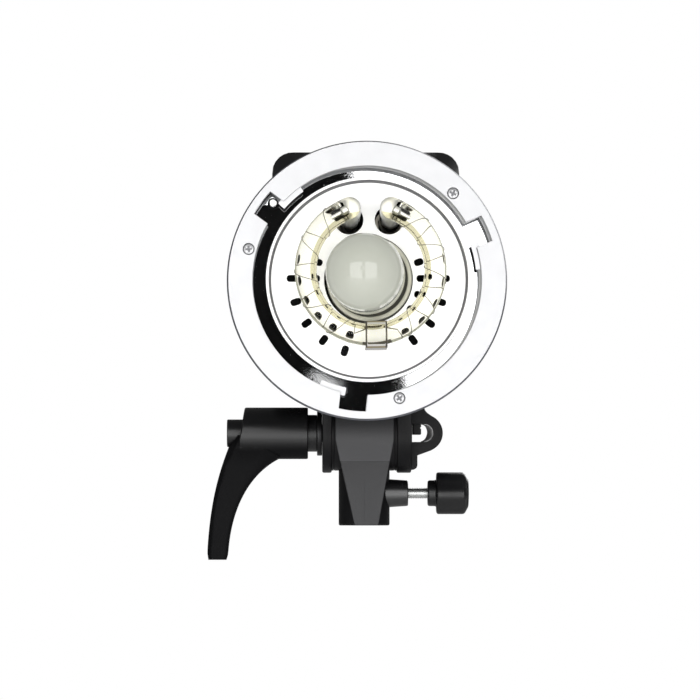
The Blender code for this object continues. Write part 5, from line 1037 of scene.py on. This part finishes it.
# Painted shade and highlight: the clip's ends and the faces that turn away are near black, and the faces that
# look straight forward are a near-white copy of the bronze.
painted_shade_edges = (aside * aside).above((3.95 * MM) ** 2).most(1 - forward.above(0.2))
bronze_and_painted_highlight = look.mix(forward.above(0.45), (0.42, 0.33, 0.16), (0.85, 0.83, 0.78))
colour = look.mix(painted_shade_edges, bronze_and_painted_highlight, (0.09, 0.08, 0.06))
bronze = look.finish(look.shader(colour, 0.25 + look.noise(1.5, 3) * 0.2, Metallic=0.6))
clip_place = FACE @ at(*on_ring(CLIP_TURN)) @ turned(271) @ UPRIGHT
make("tube_strap", clip, bronze, "head", "steel", "tube_clip", place=clip_place)

# Covers: two halves of the box housing, moulded in black with a fine grain, meeting at a seam
# along the sides. The upper half has a row of cooling slots on each side.
COVER_FRONT, COVER_REAR, SEAM, SEAM_HALF = -44.3, -224.3, 10.0, 0.15
VENT_FIRST, VENT_PITCH, VENT_HALF, VENT_LOW, VENT_HIGH = -84.3, 7.0, 1.5, 15.0, 39.0
ALONG_SIDES = Matrix(((0, 0, 1, 0), (0, 1, 0, 0), (1, 0, 0, 0), (0, 0, 0, 1)))


def cover(sign):
    """The upper or the lower half of the housing."""
    edge, meeting = BODY_TOP if sign > 0 else -BODY_DROP, SEAM + sign * SEAM_HALF
    path = [(BODY_HALF, meeting), (BODY_HALF, edge), (-BODY_HALF, edge), (-BODY_HALF, meeting)]
    bm = bmesh.new()
    verts = [bm.verts.new((x, y, COVER_REAR)) for x, y in softened(path, BODY_CORNER * 1.25, 12)]
    edges = [bm.edges.new(pair) for pair in zip(verts, verts[1:])]
    grown = bmesh.ops.extrude_edge_only(bm, edges=edges)["geom"]
    pulled = [item for item in grown if isinstance(item, bmesh.types.BMVert)]
    bmesh.ops.translate(bm, verts=pulled, vec=(0, 0, COVER_FRONT - COVER_REAR))
    bmesh.ops.recalc_face_normals(bm, faces=bm.faces)
    outward = bm.faces[0].calc_center_median() - Vector((0, SEAM, -130))
    if bm.faces[0].normal.dot(outward) < 0:
        bmesh.ops.reverse_faces(bm, faces=bm.faces)
    bmesh.ops.solidify(bm, geom=bm.faces[:], thickness=SHELL)
    bmesh.ops.recalc_face_normals(bm, faces=bm.faces)
    wide = max(vert.co.x for vert in bm.verts)
    bmesh.ops.scale(bm, vec=(BODY_HALF / wide, 1, 1), verts=bm.verts)
    rim_bevel(bm, [item for item in bm.edges if item.calc_face_angle(0) > 0.8], 0.4, 2)
    return bm


vents = []
for i in range(9):
    middle = VENT_FIRST - VENT_PITCH * i
    hole = oblong(middle - VENT_HALF, middle + VENT_HALF, VENT_LOW, VENT_HIGH, VENT_HALF)
    vents.append(slab(hole, -80, 80, 0, ALONG_SIDES))
upper = carve(cover(1), gathered(*vents))
make("upper_shell", upper, shell_black, "head", "black_plastic", "upper_cover", crease=30, place=FACE)
make("lower_shell", cover(-1), shell_black, "head", "black_plastic", "lower_cover", crease=30, place=FACE)

# Works inside the housing: bulkhead, fan, capacitors, boards and coil keep their solids
# and get the finishes of the real parts.
board_green = moulded("board_lacquer", (0.008, 0.06, 0.028), (0.014, 0.085, 0.04), 0.35, 1.2, 0.05, 0.5)
can_sleeve = moulded("capacitor_sleeve", (0.006, 0.007, 0.012), (0.01, 0.012, 0.02), 0.25, 3.0, 0.02, 0.5)
cream = moulded("cream_ceramic", (0.6, 0.56, 0.46), (0.68, 0.64, 0.54), 0.55, 0.6, 0.04, 0.4)
yellow_brass = plated("yellow_brass", (0.62, 0.46, 0.2), 0.32, 0.6)
copper = plated("lacquered_copper", (0.5, 0.24, 0.1), 0.3, 0.4)
inside = {"bulkhead": shell_black, "fan_frame": black, "fan_rotor": black, "charging_coil": copper,
          "capacitor_left": can_sleeve, "capacitor_right": can_sleeve, "lamp_cap": yellow_brass,
          "power_board": board_green, "control_board": board_green, "tilt_nut": zinc, "lever_spring": zinc,
          "lock_spring": zinc, "tube_socket_left": cream, "tube_socket_right": cream}
for name, material in inside.items():
    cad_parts[name].material_slots[0].material = material

# Rear panel: a charcoal plate with openings for the controls and a printed scale round the dial.
# It closes the back of the covers and is held by four domed screws at its corners.
panel_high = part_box("rear_panel")[1] / MM
REAR = at(0, panel_high.y, AXIS) @ UPRIGHT @ turned(180, "Y")
DISPLAY_HALF, DISPLAY_TALL, DISPLAY_RISE = 22.0, 10.0, 35.0
KEYS = (-27, -9, 9, 27)
KEY_RISE, KEY_HALF, KEY_TALL = 17.5, 4.6, 2.8
DIAL_DROP, SENSOR_RISE, JACK_SIDE, JACK_DROP = -1.0, 52.5, 29.0, -3.0
POWER_ROW, SWITCH_SIDE, INLET_SIDE = -28.0, -22.0, 13.0
CORNERS = [(36.3, 54.2), (-36.3, 54.2), (36.3, -37.8), (-36.3, -37.8)]
ROOM = 0.3
charcoal = moulded("charcoal_nylon", (0.04, 0.04, 0.042), (0.052, 0.052, 0.055), 0.52, 0.35, 0.06, 0.4)
panel = slab(oblong(-BODY_HALF, BODY_HALF, -BODY_DROP, BODY_TOP, BODY_CORNER * 1.25, 12), -3, 0, 0.5)
windows = [(0, DISPLAY_RISE, DISPLAY_HALF + ROOM, DISPLAY_TALL + ROOM, 1.2, 5)]
windows += [(x, KEY_RISE, KEY_HALF + ROOM, KEY_TALL + ROOM, 1, 5) for x in KEYS]
windows += [(SWITCH_SIDE, POWER_ROW, 9.3, 6.6, 0.3, 2), (INLET_SIDE, POWER_ROW, 13.5, 10.0, 0.3, 2)]
bores = [(0, DIAL_DROP, 3.4), (0, SENSOR_RISE, 4.8)]
bores += [(-JACK_SIDE, JACK_DROP, 4.0), (JACK_SIDE, JACK_DROP, 5.0)]
cuts = []
for x, y, half, tall, corner, steps in windows:
    cuts.append(slab(oblong(x - half, x + half, y - tall, y + tall, corner, steps), -9, 9))
cuts += [peg(radius, -9, 9, 40, at(x, y)) for x, y, radius in bores]
cuts += [peg(1.7, -9, 9, 24, at(x, y)) for x, y in CORNERS]
panel = carve(panel, gathered(*cuts))
make("panel_plate", panel, charcoal, "head", "charcoal_plastic", "rear_panel", crease=30, place=REAR)
for number, (x, y) in enumerate(CORNERS, 1):
    screw = cross_screw(2.3, 1.6, 1.4, 9.3, REAR @ at(x, y, 0.3))
    make("rear_screw_%d" % number, screw, bright, "head", "steel", "panel_screw_%d" % number)
marks = []
for i in range(11):
    mark = oblong(14.2, 16.4 if i % 5 else 17.2, -0.25, 0.25, 0.1, 2)
    marks.append(slab(mark, -0.1, 0.08, 0, at(0, DIAL_DROP) @ turned(225 - 27 * i)))
white_ink = moulded("white_ink", (0.66, 0.66, 0.66), (0.74, 0.74, 0.74), 0.6, 0.3, 0.01)
make("dial_scale", gathered(*marks), white_ink, "head", "charcoal_plastic", place=REAR)

# Rear controls: smoked display lens, four soft keys, a knurled power dial, a red slave sensor dome,
# a nickel sync jack and a slotted fuse cap.
smoked = moulded("smoked_lens_gloss", (0.006, 0.007, 0.009), (0.008, 0.009, 0.011), 0.1, 6, 0.005, 0.5)
screen = slab(centred(DISPLAY_HALF, DISPLAY_TALL, 1), -3, -0.3, 0.2, REAR @ at(0, DISPLAY_RISE))
make("display_lens", screen, smoked, "head", "smoked_lens", "display_window")
look = Shading("lit_segments")
glow = look.mix(look.noise(3), (0.9, 0.12, 0.05), (1.0, 0.2, 0.08))
lit = look.finish(look.shader((0.3, 0.03, 0.02), 0.4, Emission_Color=glow, Emission_Strength=0.8))
WIDE, TALL = 2.8, 5.6
SEGMENTS = {"a": (0, TALL, 0), "g": (0, 0, 0), "d": (0, -TALL, 0), "b": (WIDE, TALL / 2, 90),
            "c": (WIDE, -TALL / 2, 90), "f": (-WIDE, TALL / 2, 90), "e": (-WIDE, -TALL / 2, 90)}
bars = []
for middle, unlit in ((-5.5, "e"), (5.5, "g")):
    for name, (x, y, turn) in SEGMENTS.items():
        if name != unlit:
            place = at(middle + x, DISPLAY_RISE + y, -0.3) @ turned(turn)
            bars.append(slab(centred(2.1, 0.45, 0.4, 2), -0.05, 0.06, 0, place))
make("display_digits", gathered(*bars), lit, "head", "red_lens", place=REAR)
soft_grey = moulded("soft_grey", (0.2, 0.205, 0.21), (0.25, 0.255, 0.26), 0.55, 0.4, 0.03)
for name, x in zip(("lamp_key", "sound_key", "slave_key", "test_key"), KEYS):
    spot = REAR @ at(x, KEY_RISE)
    cap = slab(centred(KEY_HALF, KEY_TALL, 1), -3.6, 1.6, 0.6, spot, 4)
    flange = slab(centred(KEY_HALF + 0.8, KEY_TALL + 0.8, 1), -4.3, -3.3, 0.1, spot)
    dish = bmesh.new()
    bmesh.ops.create_uvsphere(dish, u_segments=48, v_segments=24, radius=14)
    cap = carve(fuse(cap, flange), moved(dish, spot @ at(0, 0, 15.25)))
    make(name + "_cap", cap, soft_grey, name, "grey_key", name)
DIAL = REAR @ at(0, DIAL_DROP)
DIAL_FLUTES, FLUTE_DEPTH = 36, 0.45
dial = [(0, -4.7), (3, -4.7), (3, 0.6), (12, 0.6), (12, 9.2), (10.4, 12), (9.6, 12), (8.8, 11.4), (0, 11.4)]
dial = fluted(spun(softened(dial, 0.5, 3), 144), DIAL_FLUTES, FLUTE_DEPTH, 0,
              lambda spot: spot.xy.length > 11 and 1.4 < spot.z < 9.8)
make("dial_knob", dial, black, "dial", "black_plastic", "power_dial", crease=40, place=DIAL)
pointer = slab(oblong(-0.5, 0.5, 3.5, 8.2, 0.3), 11.2, 11.5, 0.05, DIAL)
make("dial_pointer", pointer, white_ink, "dial", "black_plastic")
sensor = [(0, -3), (4.5, -3), (4.5, 0.3), (6, 0.3), (6, 1.2)] + arc(0, 0.6, 5.7, 14, 84, 14) + [(0, 6.3)]
look = Shading("ruby_dome")
swirl = look.noise(2)
colour = look.mix(swirl, (0.3, 0.008, 0.008), (0.4, 0.015, 0.012))
ruby = look.finish(look.shader(colour, 0.08 + swirl * 0.05, Transmission_Weight=0.35, Coat_Weight=0.4))
sensor = spun(sensor, 72, REAR @ at(0, SENSOR_RISE))
make("sensor_dome", sensor, ruby, "head", "red_lens", "slave_sensor")
jack = [(0, -11.1), (3.7, -11.1), (3.7, 0.3), (5.7, 0.3), (5.7, 1.2), (4.9, 2.0), (1.75, 2.0), (1.75, -8.9)]
jack = spun(softened(jack + [(0, -8.9)], 0.3, 2), 56, REAR @ at(-JACK_SIDE, JACK_DROP))
make("jack_ring", jack, bright, "head", "steel", "sync_jack")
fuse_side = [(0, -18.4), (4.6, -18.4), (4.6, 0.3), (6.2, 0.3), (6.2, 6.2), (0, 6.2)]
fuse_cap = carve(spun(softened(fuse_side, 0.7, 3), 72), slab(centred(9, 0.8, 0.1, 1), 4.6, 9))
make("fuse_knob", fuse_cap, black, "fuse", "black_plastic", "fuse_cap", place=REAR @ at(JACK_SIDE, JACK_DROP))


# Power row: a rocker switch in its frame and a three-pin mains inlet, moulded in black nylon.
# Both are pushed through the panel up to their flanges, and the inlet's pins are bright metal.
def flanged(half, tall, corner, rim_corner, deep):
    """A box let into the panel, with a flange round its mouth."""
    body = slab(centred(half, tall, corner, 2), -deep, 1.8)
    return fuse(body, slab(centred(half + 2, tall + 2, rim_corner), 0.3, 2.0, 0.5))


SWITCH, INLET = REAR @ at(SWITCH_SIDE, POWER_ROW), REAR @ at(INLET_SIDE, POWER_ROW)
switch = carve(flanged(9, 6.3, 0.4, 1.2, 10.4), slab(centred(7.6, 4.9, 0.2, 1), -9, 9))
make("switch_bezel", switch, black, "head", "black_plastic", "switch_frame", place=SWITCH)
paddle = [(-3.7, 2.0), (0, 2.7), (3.7, 3.86), (2.96, -4.5), (0, -8.4), (-2.96, -4.5)]
rocker = slab(softened(paddle, 0.5, 3, closed=True), -7.3, 7.3, 0.3, SWITCH @ SECTION_TO_X)
make("rocker_paddle", rocker, black, "rocker", "black_plastic", "power_switch")
recess = [(-11.9, -8.4), (11.9, -8.4), (11.9, 4.6), (8.1, 8.4), (-8.1, 8.4), (-11.9, 4.6)]
inlet = carve(flanged(13.2, 9.7, 0.6, 1.6, 17.6), slab(softened(recess, 0.6, 3, closed=True), -15, 9))
make("inlet_shell", inlet, black, "head", "black_plastic", "mains_inlet", place=INLET)
pin_places = ((-7, -2), (7, -2), (0, 2))
pins = [slab(centred(1, 2, 0.4, 2), -15.5, -3.1, 0.3, at(x, y)) for x, y in pin_places]
make("inlet_pins", gathered(*pins), bright, "head", "black_plastic", place=INLET)
